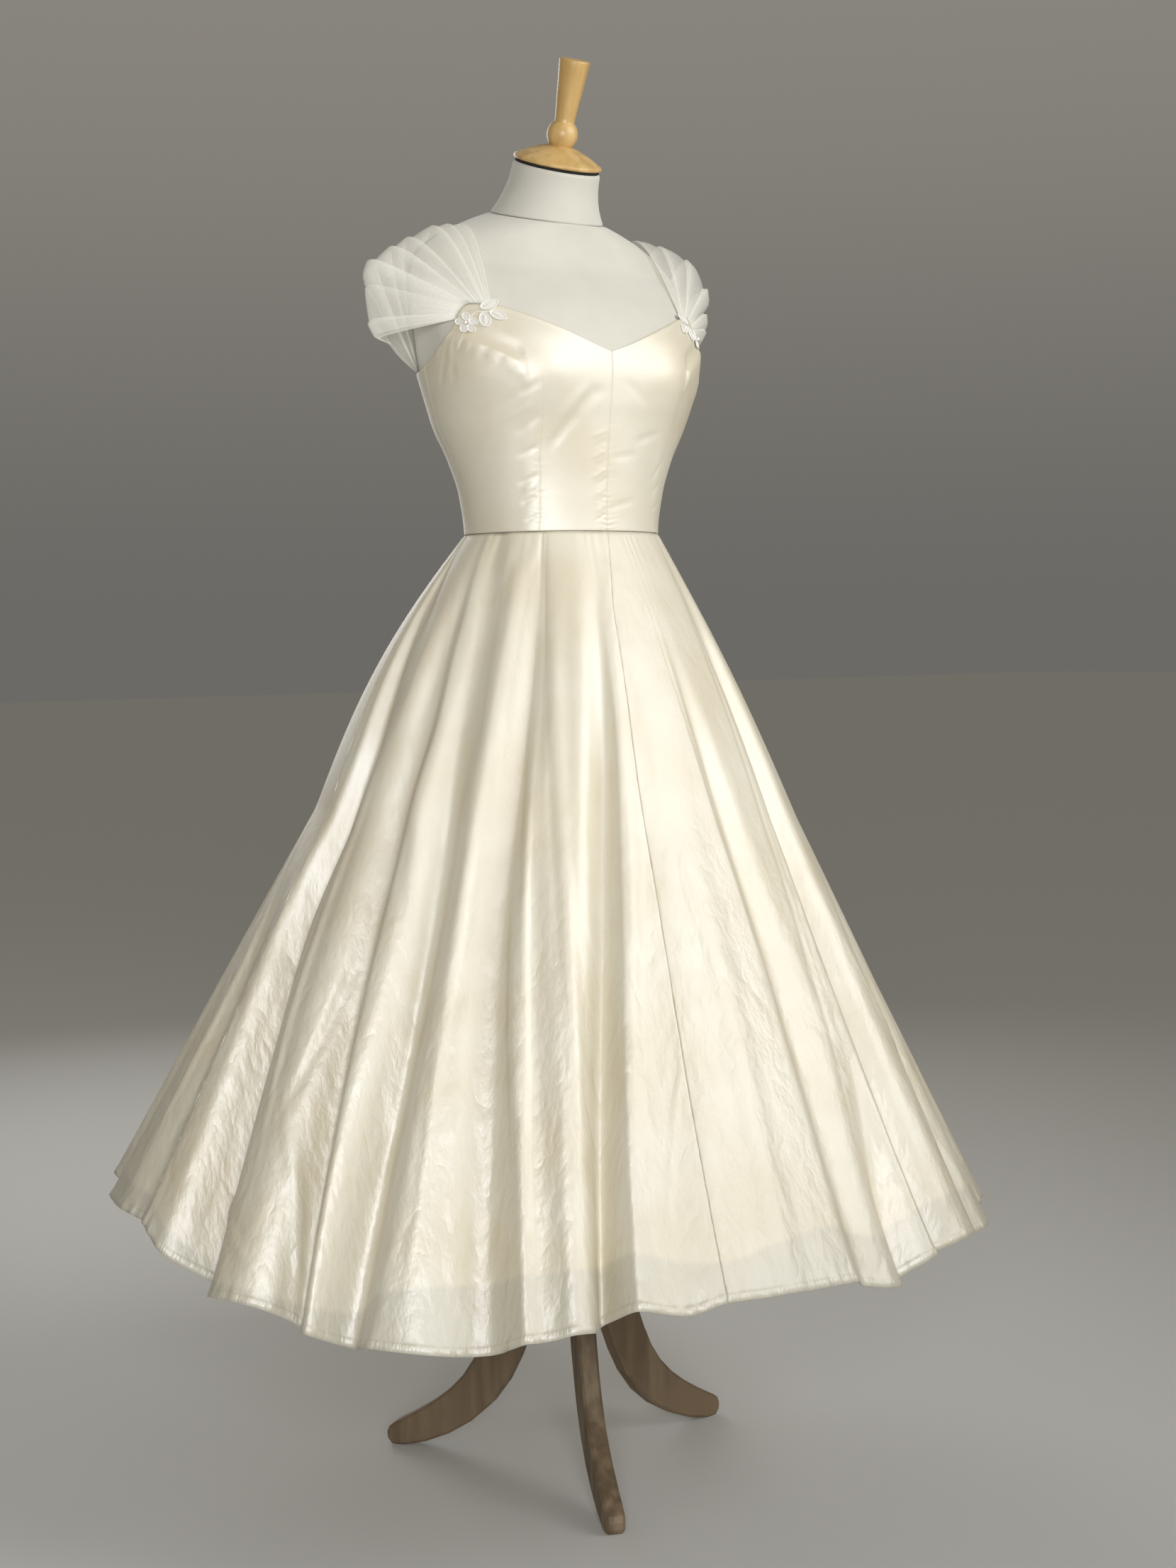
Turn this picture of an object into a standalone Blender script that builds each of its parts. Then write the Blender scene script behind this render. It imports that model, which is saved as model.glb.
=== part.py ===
"""A wedding dress on its limbless dress form, cut and sewn as separate panels.

Metres, +Z up. The front of the dress faces -Y and the wearer's left is +X. The origin lies on the floor
under the middle of the whole outline. Angles are in degrees round +Z, so -90 is the centre front, 90 the
centre back, 0 the wearer's left side and 180 (or -180) the wearer's right side.
"""

import math

import bmesh
import bpy
import numpy as np
from mathutils import Matrix, Vector

# --- driving sizes -------------------------------------------------------------------------------------

CENTRE_SHIFT = Vector((0.0193, -0.0083, 0.0))  # brings the middle of the whole outline onto the origin

SEAM_GAP = 0.0003  # between two pieces that are sewn together
NEAR_SEAM = 0.5  # degrees from a seam, to find which way its panel runs
EASE = 0.0014  # between the figure and the inside of the bodice
FORM_UNDER = 0.0010  # the form lies this far inside the figure, so that flat facets never meet
WALL = 0.0015  # bodice and skirt: satin with its lining
TULLE_WALL = 0.0011

WAIST_HEIGHT = 1.0942
WAIST_HALF_WIDTH = 0.1176
WAIST_HALF_DEPTH = 0.0960
WAIST_BACK_SHIFT = -0.0120
HEM_SHIFT = (-0.0123, 0.0076)

ZIP_HALF_WIDTH = 0.0020
ZIP_END = 0.17  # how far down the skirt the zip runs, as a share of its length

# The form's rings from the hip to the neck seam. Front and back are distances from the stand's axis, tilt
# is how far the ring leans forward, and square is the power of the front's outline, 2 for an ellipse.
FIGURE_NAMES = ("height", "half_width", "front", "back", "tilt", "square")
FIGURE = (
    (0.840, 0.150, 0.112, 0.118, 0.0, 2.0),
    (0.870, 0.163, 0.120, 0.128, 0.0, 2.0),
    (0.920, 0.166, 0.122, 0.130, 0.0, 2.0),
    (0.980, 0.150, 0.116, 0.116, 0.0, 2.0),
    (1.040, 0.125, 0.109, 0.092, 0.0, 2.0),
    (1.094, 0.1147, 0.1050, 0.0811, 0.0, 2.0),
    (1.138, 0.1212, 0.1066, 0.0811, 0.0, 2.0),
    (1.178, 0.1345, 0.1101, 0.0871, 0.0, 2.05),
    (1.216, 0.1530, 0.1145, 0.0941, 0.0, 2.1),
    (1.239, 0.1605, 0.1180, 0.0971, 0.0, 2.2),
    (1.272, 0.1700, 0.1210, 0.1021, 0.0, 2.35),
    (1.300, 0.1735, 0.1180, 0.1050, 0.0, 2.35),
    (1.340, 0.1750, 0.1020, 0.1050, 0.0, 2.2),
    (1.375, 0.1745, 0.0820, 0.1010, 3.0, 2.1),
    (1.398, 0.1680, 0.0660, 0.0950, 6.0, 2.0),
    (1.417, 0.1500, 0.0580, 0.0880, 9.0, 2.0),
    (1.432, 0.1260, 0.0550, 0.0810, 12.0, 2.0),
    (1.446, 0.0940, 0.0560, 0.0760, 14.0, 2.0),
    (1.4557, 0.0655, 0.0580, 0.0740, 15.0, 2.0),
)
BUST_ACROSS = 0.090
BUST_HEIGHT = 1.262
BUST_SPREAD = 0.046
BUST_RISE = 0.010
ARM_PLATE_ACROSS = 0.170  # the form is cut off flat here at each shoulder

# Top edge of the bodice: angle round from the centre front, and height.
TOP_NAMES = ("from_front", "height")
TOP_EDGE = (
    (0, 1.2920), (16.5, 1.3150), (27, 1.3265), (43, 1.3395), (55, 1.3410), (60, 1.3330), (68, 1.3122),
    (80, 1.2925), (92, 1.2790), (100, 1.2745), (112, 1.2740), (125, 1.2760), (150, 1.2800), (180, 1.2780),
)
SIDE_SEAM_SWING = 13.0  # how far the side seams run back round the form from the armhole to the waist

# The skirt by the angle at its hem: length down the slope, radius at the crests of its folds, and how much
# fuller than a plain cone it hangs over the hip, as a share of the radius.
SKIRT_NAMES = ("angle", "length", "radius", "fullness")
SKIRT = (
    (-180, 0.833, 0.516, 0.034),
    (-173, 0.861, 0.516, 0.034),
    (-166, 0.877, 0.518, 0.032),
    (-159, 0.875, 0.519, 0.028),
    (-150, 0.892, 0.520, 0.024),
    (-138, 0.898, 0.520, 0.016),
    (-128, 0.890, 0.520, 0.012),
    (-119, 0.877, 0.520, 0.010),
    (-114, 0.862, 0.520, 0.010),
    (-108, 0.869, 0.518, 0.010),
    (-103, 0.861, 0.516, 0.010),
    (-90, 0.860, 0.511, 0.010),
    (-84, 0.862, 0.510, 0.010),
    (-77, 0.876, 0.509, 0.010),
    (-70, 0.858, 0.507, 0.010),
    (-60, 0.858, 0.505, 0.012),
    (-48, 0.868, 0.503, 0.013),
    (-24, 0.864, 0.501, 0.014),
    (30, 0.856, 0.504, 0.015),
    (90, 0.862, 0.512, 0.016),
    (150, 0.846, 0.516, 0.030),
    (180, 0.833, 0.516, 0.034),
)
# How far each line of the cloth, named by its angle at the hem, lies round from there at the waist.
SWING_NAMES = ("angle", "swing")
HEM_SWING = (
    (-180, -13), (-170, -17), (-155, -10), (-144, -2), (-133, 1), (-124, -1), (-115, 10), (-102, 12),
    (-80, 9), (-73, 15), (-64, 21), (-50, 18), (-24, 14), (0, 13), (40, 6), (90, 0), (130, -7), (180, -13),
)
SWING_POWER = 1.4

# The skirt's folds. Half width and lap are degrees at the hem, depth is metres, and start and end are
# shares of the skirt's length. Lap pulls the two sides of a fold over each other: above zero the cloth on
# its left, seen from outside, lies on top, and below zero the cloth on its right.
FOLD_NAMES = ("angle", "half_width", "depth", "lap", "start", "end")
FOLDS = (
    (-185.0, 5.0, 0.014, 0.0, 0.45, 1.0),
    (-170.0, 8.0, 0.046, -1.5, 0.06, 1.0),
    (-160.5, 4.0, 0.010, 0.0, 0.50, 1.0),
    (-154.5, 6.5, 0.034, -1.2, 0.02, 1.0),
    (-144.5, 8.0, 0.030, 0.0, 0.00, 1.0),
    (-133.5, 5.0, 0.010, 0.0, 0.10, 1.0),
    (-123.8, 6.0, 0.018, 0.0, 0.00, 1.0),
    (-116.3, 5.5, 0.044, 1.6, 0.04, 1.0),
    (-107.5, 4.0, 0.007, 0.0, 0.00, 0.6),
    (-96.0, 6.0, 0.008, 0.0, 0.10, 1.0),
    (-83.5, 6.0, 0.036, 3.0, 0.15, 1.0),
    (-76.0, 5.5, 0.038, 2.0, 0.25, 1.0),
    (-66.0, 7.5, 0.045, 1.6, 0.06, 1.0),
    (-52.0, 4.0, 0.012, 0.0, 0.30, 1.0),
    (-40.0, 6.5, 0.045, -1.0, 0.05, 1.0),
    (-24.0, 5.0, 0.024, 0.0, 0.12, 1.0),
    (-10.0, 7.0, 0.046, 1.4, 0.05, 1.0),
    (8.0, 5.0, 0.020, 0.0, 0.15, 1.0),
    (22.0, 6.5, 0.042, 1.2, 0.04, 1.0),
    (39.0, 6.0, 0.030, 0.0, 0.10, 1.0),
    (54.0, 6.0, 0.042, -1.4, 0.05, 1.0),
    (68.0, 4.5, 0.014, 0.0, 0.30, 1.0),
    (80.0, 5.0, 0.030, 0.0, 0.24, 1.0),
    (101.0, 5.5, 0.032, 0.0, 0.24, 1.0),
    (114.0, 5.0, 0.016, 0.0, 0.15, 1.0),
    (127.0, 6.5, 0.046, 1.5, 0.05, 1.0),
    (142.0, 5.5, 0.024, 0.0, 0.10, 1.0),
    (157.0, 6.5, 0.042, -1.4, 0.05, 1.0),
)

# The sleeves' wings of tulle, on the wearer's right; the left one is mirrored and stands out less.
SLEEVE_FOLD_NAMES = ("across", "half_width", "height")
SLEEVE_FOLDS = (
    (0.055, 0.050, 0.0016), (0.160, 0.050, 0.0034), (0.275, 0.062, 0.0044), (0.400, 0.058, 0.0036),
    (0.520, 0.055, 0.0050), (0.645, 0.065, 0.0040), (0.775, 0.060, 0.0048), (0.905, 0.062, 0.0034),
)
SLEEVE_FRONT_GATHER = (44.0, 58.0)  # where the tulle is gathered into the bodice's top edge, as angles
SLEEVE_BACK_GATHER = (128.0, 108.0)  # from the centre front: the strand by the neck, and the free edge
SLEEVE_CREST = (
    (-0.1050, 0.0100, 1.4380), (-0.1450, 0.0100, 1.4300), (-0.1830, 0.0080, 1.4160), (-0.2180, 0.0050, 1.3940),
    (-0.2340, 0.0020, 1.3670), (-0.2330, 0.0000, 1.3370), (-0.2270, -0.0020, 1.3080),
)
GATHER_LIFT = 0.0010
SHOULDER_ACROSS = 0.150
SLEEVE_TURN = 0.034  # half the length over which a strand of the sleeve turns from front to back
SLEEVE_CLEAR = (0.0010, 0.0036)  # above the figure at the gathers, and the more over the shoulder
SLEEVE_REACH_LEFT = 0.67

# Appliqué sprigs: the flower, then the leaves, as offsets along and up the bodice from the flower.
FLOWER_FROM_FRONT = 57.5
FLOWER_HEIGHT = 1.3200
FLOWER_RADIUS = 0.0135
PETALS = 5
PETAL_DIP = 0.22
LEAF_NAMES = ("along", "up", "half_length", "half_width", "turn")
LEAVES = (
    (0.0275, 0.0205, 0.0112, 0.0054, 25.0),
    (0.0203, 0.0035, 0.0080, 0.0055, 84.0),
    (0.0336, 0.0082, 0.0074, 0.0056, -42.0),
)
SPRIG_LIFT = 0.0005
SPRIG_THICKNESS = 0.0012

# The stand. A leg's centre line runs from the hub to the floor: distance out, height and board width.
LEG_ANGLES = (-111.2, 8.8, 128.8)
LEG_NAMES = ("out", "height", "width")
LEG_LINE = (
    (0.0380, 0.370, 0.044), (0.0450, 0.290, 0.047), (0.0600, 0.215, 0.051), (0.0790, 0.150, 0.051),
    (0.1080, 0.090, 0.049), (0.1480, 0.050, 0.045), (0.1900, 0.026, 0.038), (0.2220, 0.0125, 0.030),
)
LEG_THICKNESS = 0.022
LEG_ROUNDING = 0.003
HUB_RADIUS = 0.01605
HUB_BOTTOM = 0.250
HUB_TOP = 0.385
POLE_RADIUS = 0.0110
FORM_BOTTOM = 0.840

# Neck and wooden cap: both lean forward.
SEAM_CENTRE = Vector((0.0, 0.0080, 1.4580))
SEAM_TILT = 15.0
CAP_CENTRE = Vector((0.0, -0.0171, 1.5149))
CAP_TILT = 20.8
NECK_RADIUS = 0.0505
# Turned profile of the cap and its handle, from the rim up: radius and height along the leaning axis.
CAP_NAMES = ("radius", "up")
CAP_PROFILE = ((0.0500, 0.0000), (0.0510, 0.0020), (0.0500, 0.0045), (0.0330, 0.0135), (0.0150, 0.0200))
BALL_RADIUS = 0.0178
BALL_UP = 0.0330
HANDLE_BOTTOM_RADIUS = 0.0113
HANDLE_TOP_RADIUS = 0.0174
HANDLE_TOP_UP = 0.1155

# The zip's slider and pull at the top of the centre back.
SLIDER_HEIGHT = 1.2670
SLIDER_SIZE = (0.0080, 0.0022, 0.0110)
BRIDGE_WIDTH = 0.0024
BRIDGE_HALF_LENGTH = 0.0035
BRIDGE_INSIDE = 0.0028
BRIDGE_METAL = 0.0009
PULL_THICKNESS = 0.0012
PULL_PIVOT_OUT = 0.0014
PULL_LENGTH = 0.0210

# --- how fine the meshes are ---------------------------------------------------------------------------

SKIRT_ROWS = (0.0, 0.05, 0.105, ZIP_END, 0.27, 0.40, 0.55, 0.70, 0.85, 1.0)
FOLD_STATIONS = (-0.95, -0.55, -0.22, 0.12, 0.45, 0.80)
BODICE_ROWS = 8
BODICE_STEP = 6.0
FIGURE_SIDES = 40
SLEEVE_ROWS = 10
TURNED_SIDES = 32


# --- small tools ---------------------------------------------------------------------------------------


def columns(table, names):
    """The table as a dictionary of arrays, one for each named column."""
    return dict(zip(names, np.array(table, float).T))


def smooth(at, x, y):
    """A curve through the points (x, y) that never overshoots them, read at the given places."""
    step = np.diff(x)
    slope = np.diff(y) / step
    lean = np.zeros(len(x))
    same_way = slope[1:] * slope[:-1] > 0
    harmonic = 2 * slope[1:] * slope[:-1] / np.where(same_way, slope[1:] + slope[:-1], 1)
    lean[1:-1] = np.where(same_way, harmonic, 0)
    lean[0], lean[-1] = slope[0], slope[-1]
    at = np.clip(at, x[0], x[-1])
    i = np.clip(np.searchsorted(x, at) - 1, 0, len(step) - 1)
    u = (at - x[i]) / step[i]
    start = (1 + 2 * u) * (1 - u) ** 2 * y[i] + u * (1 - u) ** 2 * step[i] * lean[i]
    end = u**2 * (3 - 2 * u) * y[i + 1] + u**2 * (u - 1) * step[i] * lean[i + 1]
    return start + end


def ease_in(u):
    u = np.clip(u, 0, 1)
    return u * u * (3 - 2 * u)


def wrapped(degrees):
    return (degrees + 180) % 360 - 180


def material(name, colour, roughness, metallic=0.0):
    made = bpy.data.materials.new(name)
    made.use_nodes = True
    shader = made.node_tree.nodes["Principled BSDF"]
    shader.inputs["Base Color"].default_value = (*colour, 1.0)
    shader.inputs["Roughness"].default_value = roughness
    shader.inputs["Metallic"].default_value = metallic
    return made


def add(name, mesh, look, parent=None):
    """A named object in the scene, moved so that the whole outline is centred on the origin."""
    made = bpy.data.objects.new(name, mesh)
    made.data.materials.append(look)
    bpy.context.scene.collection.objects.link(made)
    if parent is None:
        made.location = CENTRE_SHIFT
    else:
        made.parent = parent
    return made


def mesh_of(bm, name, smooth_angle=None):
    bmesh.ops.recalc_face_normals(bm, faces=bm.faces)
    mesh = bpy.data.meshes.new(name)
    bm.to_mesh(mesh)
    bm.free()
    if smooth_angle is not None:
        mesh.shade_smooth()
        mesh.set_sharp_from_angle(angle=math.radians(smooth_angle))
    return mesh


def normals_of(grid):
    """Unit normals of a grid of points, rows by columns, pointing to the right of its columns' run."""
    along = np.gradient(grid, axis=1)
    down = np.gradient(grid, axis=0)
    normal = np.cross(along, down)
    return normal / np.linalg.norm(normal, axis=2, keepdims=True)


def wall_mesh(name, outer, inner):
    """A closed wall between two open grids of points, rows by columns."""
    rows, count, _ = outer.shape
    bm = bmesh.new()
    out = [[bm.verts.new(outer[r, c]) for c in range(count)] for r in range(rows)]
    back = [[bm.verts.new(inner[r, c]) for c in range(count)] for r in range(rows)]
    for r in range(rows - 1):
        for c in range(count - 1):
            bm.faces.new((out[r][c], out[r][c + 1], out[r + 1][c + 1], out[r + 1][c]))
            bm.faces.new((back[r][c], back[r + 1][c], back[r + 1][c + 1], back[r][c + 1]))
    for c in range(count - 1):
        bm.faces.new((out[0][c + 1], out[0][c], back[0][c], back[0][c + 1]))
        bm.faces.new((out[-1][c], out[-1][c + 1], back[-1][c + 1], back[-1][c]))
    for r in range(rows - 1):
        bm.faces.new((out[r][0], out[r + 1][0], back[r + 1][0], back[r][0]))
        bm.faces.new((out[r + 1][-1], out[r][-1], back[r][-1], back[r + 1][-1]))
    return mesh_of(bm, name, 50)


def ring_mesh(name, rings, smooth_angle=40):
    """A closed skin over rings of points, capped at both ends."""
    bm = bmesh.new()
    loops = [[bm.verts.new(p) for p in ring] for ring in rings]
    count = len(loops[0])
    for low, high in zip(loops, loops[1:]):
        for i in range(count):
            j = (i + 1) % count
            bm.faces.new((low[i], low[j], high[j], high[i]))
    bm.faces.new(loops[0][::-1])
    bm.faces.new(loops[-1])
    return mesh_of(bm, name, smooth_angle)


def turned_rings(radii, ups, frame, sides=TURNED_SIDES):
    """Rings round the Z axis of a frame, one for each radius and height."""
    angles = [2 * math.pi * i / sides for i in range(sides)]
    return [
        [frame @ Vector((r * math.cos(a), r * math.sin(a), up)) for a in angles] for r, up in zip(radii, ups)
    ]


def plate_mesh(name, outline, thickness, frame):
    """A flat plate: an outline in the frame's XZ plane, made thick evenly along its Y."""
    bm = bmesh.new()
    front = [bm.verts.new(frame @ Vector((x, -thickness / 2, z))) for x, z in outline]
    back = [bm.verts.new(frame @ Vector((x, thickness / 2, z))) for x, z in outline]
    bm.faces.new(front)
    bm.faces.new(back[::-1])
    for i, vertex in enumerate(front):
        j = (i + 1) % len(front)
        bm.faces.new((vertex, back[i], back[j], front[j]))
    return mesh_of(bm, name)


# --- the figure under the dress ------------------------------------------------------------------------


def figure(angle, height, out=0.0):
    """Points on the form, or moved out from it: angle and height are arrays of the same shape."""
    angle = np.radians(angle)
    height = np.asarray(height, float)
    table = columns(FIGURE, FIGURE_NAMES)
    level = table["height"]
    half_width = smooth(height, level, table["half_width"]) + out
    front = smooth(height, level, table["front"]) + out
    back = smooth(height, level, table["back"]) + out
    tilt = np.radians(smooth(height, level, table["tilt"]))
    bend = np.where(np.sin(angle) < 0, 2 / smooth(height, level, table["square"]), 1.0)
    x = half_width * np.sign(np.cos(angle)) * np.abs(np.cos(angle)) ** bend
    y = (back - front) / 2 + (back + front) / 2 * np.sign(np.sin(angle)) * np.abs(np.sin(angle)) ** bend
    for side in (-1, 1):
        away = ((x - side * BUST_ACROSS) ** 2 + (height - BUST_HEIGHT) ** 2) / BUST_SPREAD**2
        y = y - np.where(np.sin(angle) < 0, BUST_RISE * np.exp(-away), 0)
    cut = ARM_PLATE_ACROSS + np.where(height > 1.20, out, 1)
    z = height + y * np.tan(tilt)
    return np.stack([np.clip(x, -cut, cut), y, z], axis=-1)


def inside_figure(points, gap):
    """How deep each point lies inside the form grown by the gap, as a share of the ring: over 0 is in."""
    table = columns(FIGURE, FIGURE_NAMES)
    level = table["height"]
    x, y, z = np.moveaxis(points, -1, 0)
    height = z.copy()
    for _ in range(4):
        height = z - y * np.tan(np.radians(smooth(height, level, table["tilt"])))
    half_width = smooth(height, level, table["half_width"]) + gap
    front = smooth(height, level, table["front"]) + gap
    back = smooth(height, level, table["back"]) + gap
    behind = y - (back - front) / 2
    square = np.where(behind < 0, smooth(height, level, table["square"]), 2.0)
    across, deep = np.abs(x) / half_width, np.abs(behind) / ((back + front) / 2)
    ring = (across**square + deep**square) ** (1 / square)
    plate = np.abs(x) / (ARM_PLATE_ACROSS + gap)
    over = np.clip((height - level[-1] - gap) / 0.02, 0, None)
    return 1 - np.maximum(ring, plate) - over


def clear_of_figure(points, gap):
    """The points, with those inside the form moved out of it along the shortest way."""
    points = points.copy()
    step = 1e-4
    for _ in range(12):
        depth = inside_figure(points, gap)
        slope = np.stack(
            [(inside_figure(points + step * axis, gap) - depth) / step for axis in np.eye(3)], axis=-1
        )
        size = np.maximum((slope**2).sum(axis=-1), 1e-6)
        points -= (np.clip(depth, 0, None) / size)[..., None] * slope * 0.8
    return points


def make_form(look):
    heights = np.array([row[0] for row in FIGURE])
    angles = np.arange(FIGURE_SIDES) * 360 / FIGURE_SIDES
    rings = [figure(angles, np.full(FIGURE_SIDES, h), -FORM_UNDER) for h in heights]
    return add("form_torso", ring_mesh("form_torso", rings), look)


def leaning(centre, tilt):
    return Matrix.Translation(centre) @ Matrix.Rotation(math.radians(tilt), 4, "X")


def make_neck(look, dark, wood):
    """The jersey neck, the dark disc in the gap under the cap, and the turned cap with its handle."""
    rings = []
    steps = 6
    for i in range(steps + 1):
        u = i / steps
        tilt = SEAM_TILT + (CAP_TILT - SEAM_TILT) * u
        foot = SEAM_CENTRE.lerp(CAP_CENTRE, u)
        waist = (1 - u) ** 2.2
        radius = NECK_RADIUS + (0.0655 - NECK_RADIUS) * waist
        lift = SEAM_GAP * (1 - u) - 0.0035 * u
        rings += turned_rings([radius], [lift], leaning(foot, tilt), 36)
    add("form_neck", ring_mesh("form_neck", rings), look)
    frame = leaning(CAP_CENTRE, CAP_TILT)
    disc = turned_rings([0.0485, 0.0485], [-0.0032, -0.0003], frame)
    add("cap_gap_disc", ring_mesh("cap_gap_disc", disc), dark)
    profile = columns(CAP_PROFILE, CAP_NAMES)
    radii, ups = list(profile["radius"]), list(profile["up"])
    ball_from = math.degrees(math.asin((ups[-1] + 0.0012 - BALL_UP) / BALL_RADIUS))
    ball_to = math.degrees(math.acos((HANDLE_BOTTOM_RADIUS + 0.0004) / BALL_RADIUS))
    for i in range(9):
        a = math.radians(ball_from + (ball_to - ball_from) * i / 8)
        radii.append(BALL_RADIUS * math.cos(a))
        ups.append(BALL_UP + BALL_RADIUS * math.sin(a))
    handle_foot = ups[-1] + 0.001
    radii += [HANDLE_BOTTOM_RADIUS, HANDLE_TOP_RADIUS, HANDLE_TOP_RADIUS - 0.0008, HANDLE_TOP_RADIUS - 0.003]
    ups += [handle_foot, HANDLE_TOP_UP - 0.002, HANDLE_TOP_UP - 0.0004, HANDLE_TOP_UP]
    add("neck_cap", ring_mesh("neck_cap", turned_rings(radii, ups, frame)), wood)


def leg_outline():
    """The leg's board in its own plane: out from the axis, and up. It stands on a flat at the floor."""
    line = columns(LEG_LINE, LEG_NAMES)
    run = np.concatenate([[0], np.cumsum(np.hypot(np.diff(line["out"]), np.diff(line["height"])))])
    at = np.linspace(0, run[-1], 15)
    out, up, width = (smooth(at, run, line[name]) for name in LEG_NAMES)
    along = np.stack([np.gradient(out, at), np.gradient(up, at)], axis=1)
    along /= np.linalg.norm(along, axis=1, keepdims=True)
    across = np.stack([along[:, 1], -along[:, 0]], axis=1) * width[:, None] / 2
    middle = np.stack([out, up], axis=1)
    tip = []
    for i in range(1, 6):
        a = math.pi * i / 6
        tip.append(middle[-1] + math.cos(a) * -across[-1] + math.sin(a) * along[-1] * width[-1] / 2)
    outline = np.concatenate([middle - across, np.array(tip), (middle + across)[::-1]])
    outline[:, 1] = np.maximum(outline[:, 1], 0)
    return [tuple(p) for p in outline]


def make_stand(wood, metal):
    for number, angle in enumerate(LEG_ANGLES, 1):
        frame = Matrix.Rotation(math.radians(angle), 4, "Z")
        leg = add(f"stand_leg_{number}", plate_mesh("stand_leg", leg_outline(), LEG_THICKNESS, frame), wood)
        rounding = leg.modifiers.new("rounded edges", "BEVEL")
        rounding.width = LEG_ROUNDING
        rounding.segments = 1
        rounding.limit_method = "ANGLE"
        rounding.angle_limit = math.radians(60)
    hub = turned_rings([HUB_RADIUS] * 2, [HUB_BOTTOM, HUB_TOP], Matrix.Identity(4), 24)
    add("stand_hub", ring_mesh("stand_hub", hub), wood)
    pole = turned_rings([POLE_RADIUS] * 2, [HUB_TOP + SEAM_GAP, FORM_BOTTOM - SEAM_GAP], Matrix.Identity(4), 16)
    add("stand_pole", ring_mesh("stand_pole", pole), metal)


# --- bodice --------------------------------------------------------------------------------------------


def top_height(angle):
    table = columns(TOP_EDGE, TOP_NAMES)
    return smooth(np.abs(wrapped(angle + 90)), table["from_front"], table["height"])


def edge_beside(line, further, gap):
    """A seam's line of points moved by the gap towards another line further into the panel."""
    run = further - line
    return line + gap * run / np.linalg.norm(run, axis=-1, keepdims=True)


def make_bodice(look):
    half = SEAM_GAP / 2
    beside_zip = ZIP_HALF_WIDTH + SEAM_GAP
    panels = {
        "bodice_front_right": (-180, -90, half, half),
        "bodice_front_left": (-90, 0, half, half),
        "bodice_back_left": (0, 90, half, beside_zip),
        "bodice_back_right": (90, 180, beside_zip, half),
    }
    for name, (start, end, start_gap, end_gap) in panels.items():
        angle = np.linspace(start, end, round((end - start) / BODICE_STEP) + 1)
        down = np.linspace(0, 1, BODICE_ROWS + 1)[:, None]
        side = np.cos(np.radians(angle))
        turned = angle + SIDE_SEAM_SWING * np.sign(side) * side**2 * down
        height = top_height(angle) * (1 - down) + (WAIST_HEIGHT + half) * down
        skins = []
        for out in (EASE + WALL, EASE):
            grid = figure(turned, height, out)
            near_start = figure(turned[:, 0] + NEAR_SEAM, height[:, 0], out)
            near_end = figure(turned[:, -1] - NEAR_SEAM, height[:, -1], out)
            grid[:, 0] = edge_beside(grid[:, 0], near_start, start_gap)
            grid[:, -1] = edge_beside(grid[:, -1], near_end, end_gap)
            skins.append(grid)
        add(name, wall_mesh(name, *skins), look)


# --- skirt ---------------------------------------------------------------------------------------------


def fold_shape(x, lap):
    """Depth of a fold across its width, from 0 at its edges to 1 at its floor, which lies under its lap."""
    floor = 0.36 * np.sign(lap)
    away = np.where(x > floor, (x - floor) / (1.15 - floor), (floor - x) / (1.15 + floor))
    return (0.5 + 0.5 * np.cos(np.pi * np.clip(away, 0, 1))) ** 1.5


def skirt(angle, down):
    """Points on the outside of the skirt: angle at the hem, and share of the way down from the waist."""
    angle, down = np.broadcast_arrays(np.asarray(angle, float), np.asarray(down, float))
    swing = columns(HEM_SWING, SWING_NAMES)
    hem = columns(SKIRT, SKIRT_NAMES)
    length, radius, fullness = (smooth(wrapped(angle), hem["angle"], hem[name]) for name in SKIRT_NAMES[1:])
    turn = angle + smooth(wrapped(angle), swing["angle"], swing["swing"]) * (1 - down) ** SWING_POWER
    spread = down + fullness * np.sin(np.pi * np.clip(down / 0.42, 0, 1))
    radius = radius * spread
    for centre, half_width, depth, lap, start, end in FOLDS:
        x = wrapped(angle - centre) / half_width
        grown = ease_in((down - start) / 0.30) * (0.10 + 0.90 * down)
        if end < 1:
            grown = grown * (1 - ease_in((down - end + 0.3) / 0.3))
        radius = radius - depth * grown * fold_shape(x, lap)
        turn = turn - abs(lap) * grown**2 * np.sin(np.pi * np.clip(x, -1, 1)) * (1 - np.clip(x, -1, 1) ** 2)
    turn = np.radians(turn)
    waist_x = WAIST_HALF_WIDTH * np.cos(turn)
    waist_y = WAIST_HALF_DEPTH * np.sin(turn)
    x = waist_x * (1 - spread) + radius * np.cos(turn) + HEM_SHIFT[0] * down
    y = waist_y * (1 - spread) + radius * np.sin(turn) + WAIST_BACK_SHIFT * (1 - down) + HEM_SHIFT[1] * down
    out = np.hypot(x - waist_x, y - waist_y - WAIST_BACK_SHIFT)
    z = WAIST_HEIGHT - SEAM_GAP / 2 - np.sqrt(np.maximum((length * down) ** 2 - out**2, 0))
    return np.stack([x, y, z], axis=-1)


def skirt_stations(start, end):
    """Angles of the skirt's columns: close together in each fold, and never far apart."""
    found = {start, end}
    for centre, half_width, *_ in FOLDS:
        for share in FOLD_STATIONS:
            at = centre + share * half_width
            for turned in (at, at + 360):
                if start + 1.0 < turned < end - 1.0:
                    found.add(turned)
    spread = [start]
    for at in sorted(found)[1:]:
        if at - spread[-1] < 0.9 and at != end:
            continue
        pieces = max(1, math.ceil((at - spread[-1]) / 5.0))
        first = spread[-1]
        spread += [first + (at - first) * i / pieces for i in range(1, pieces + 1)]
    return np.array(spread)


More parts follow.
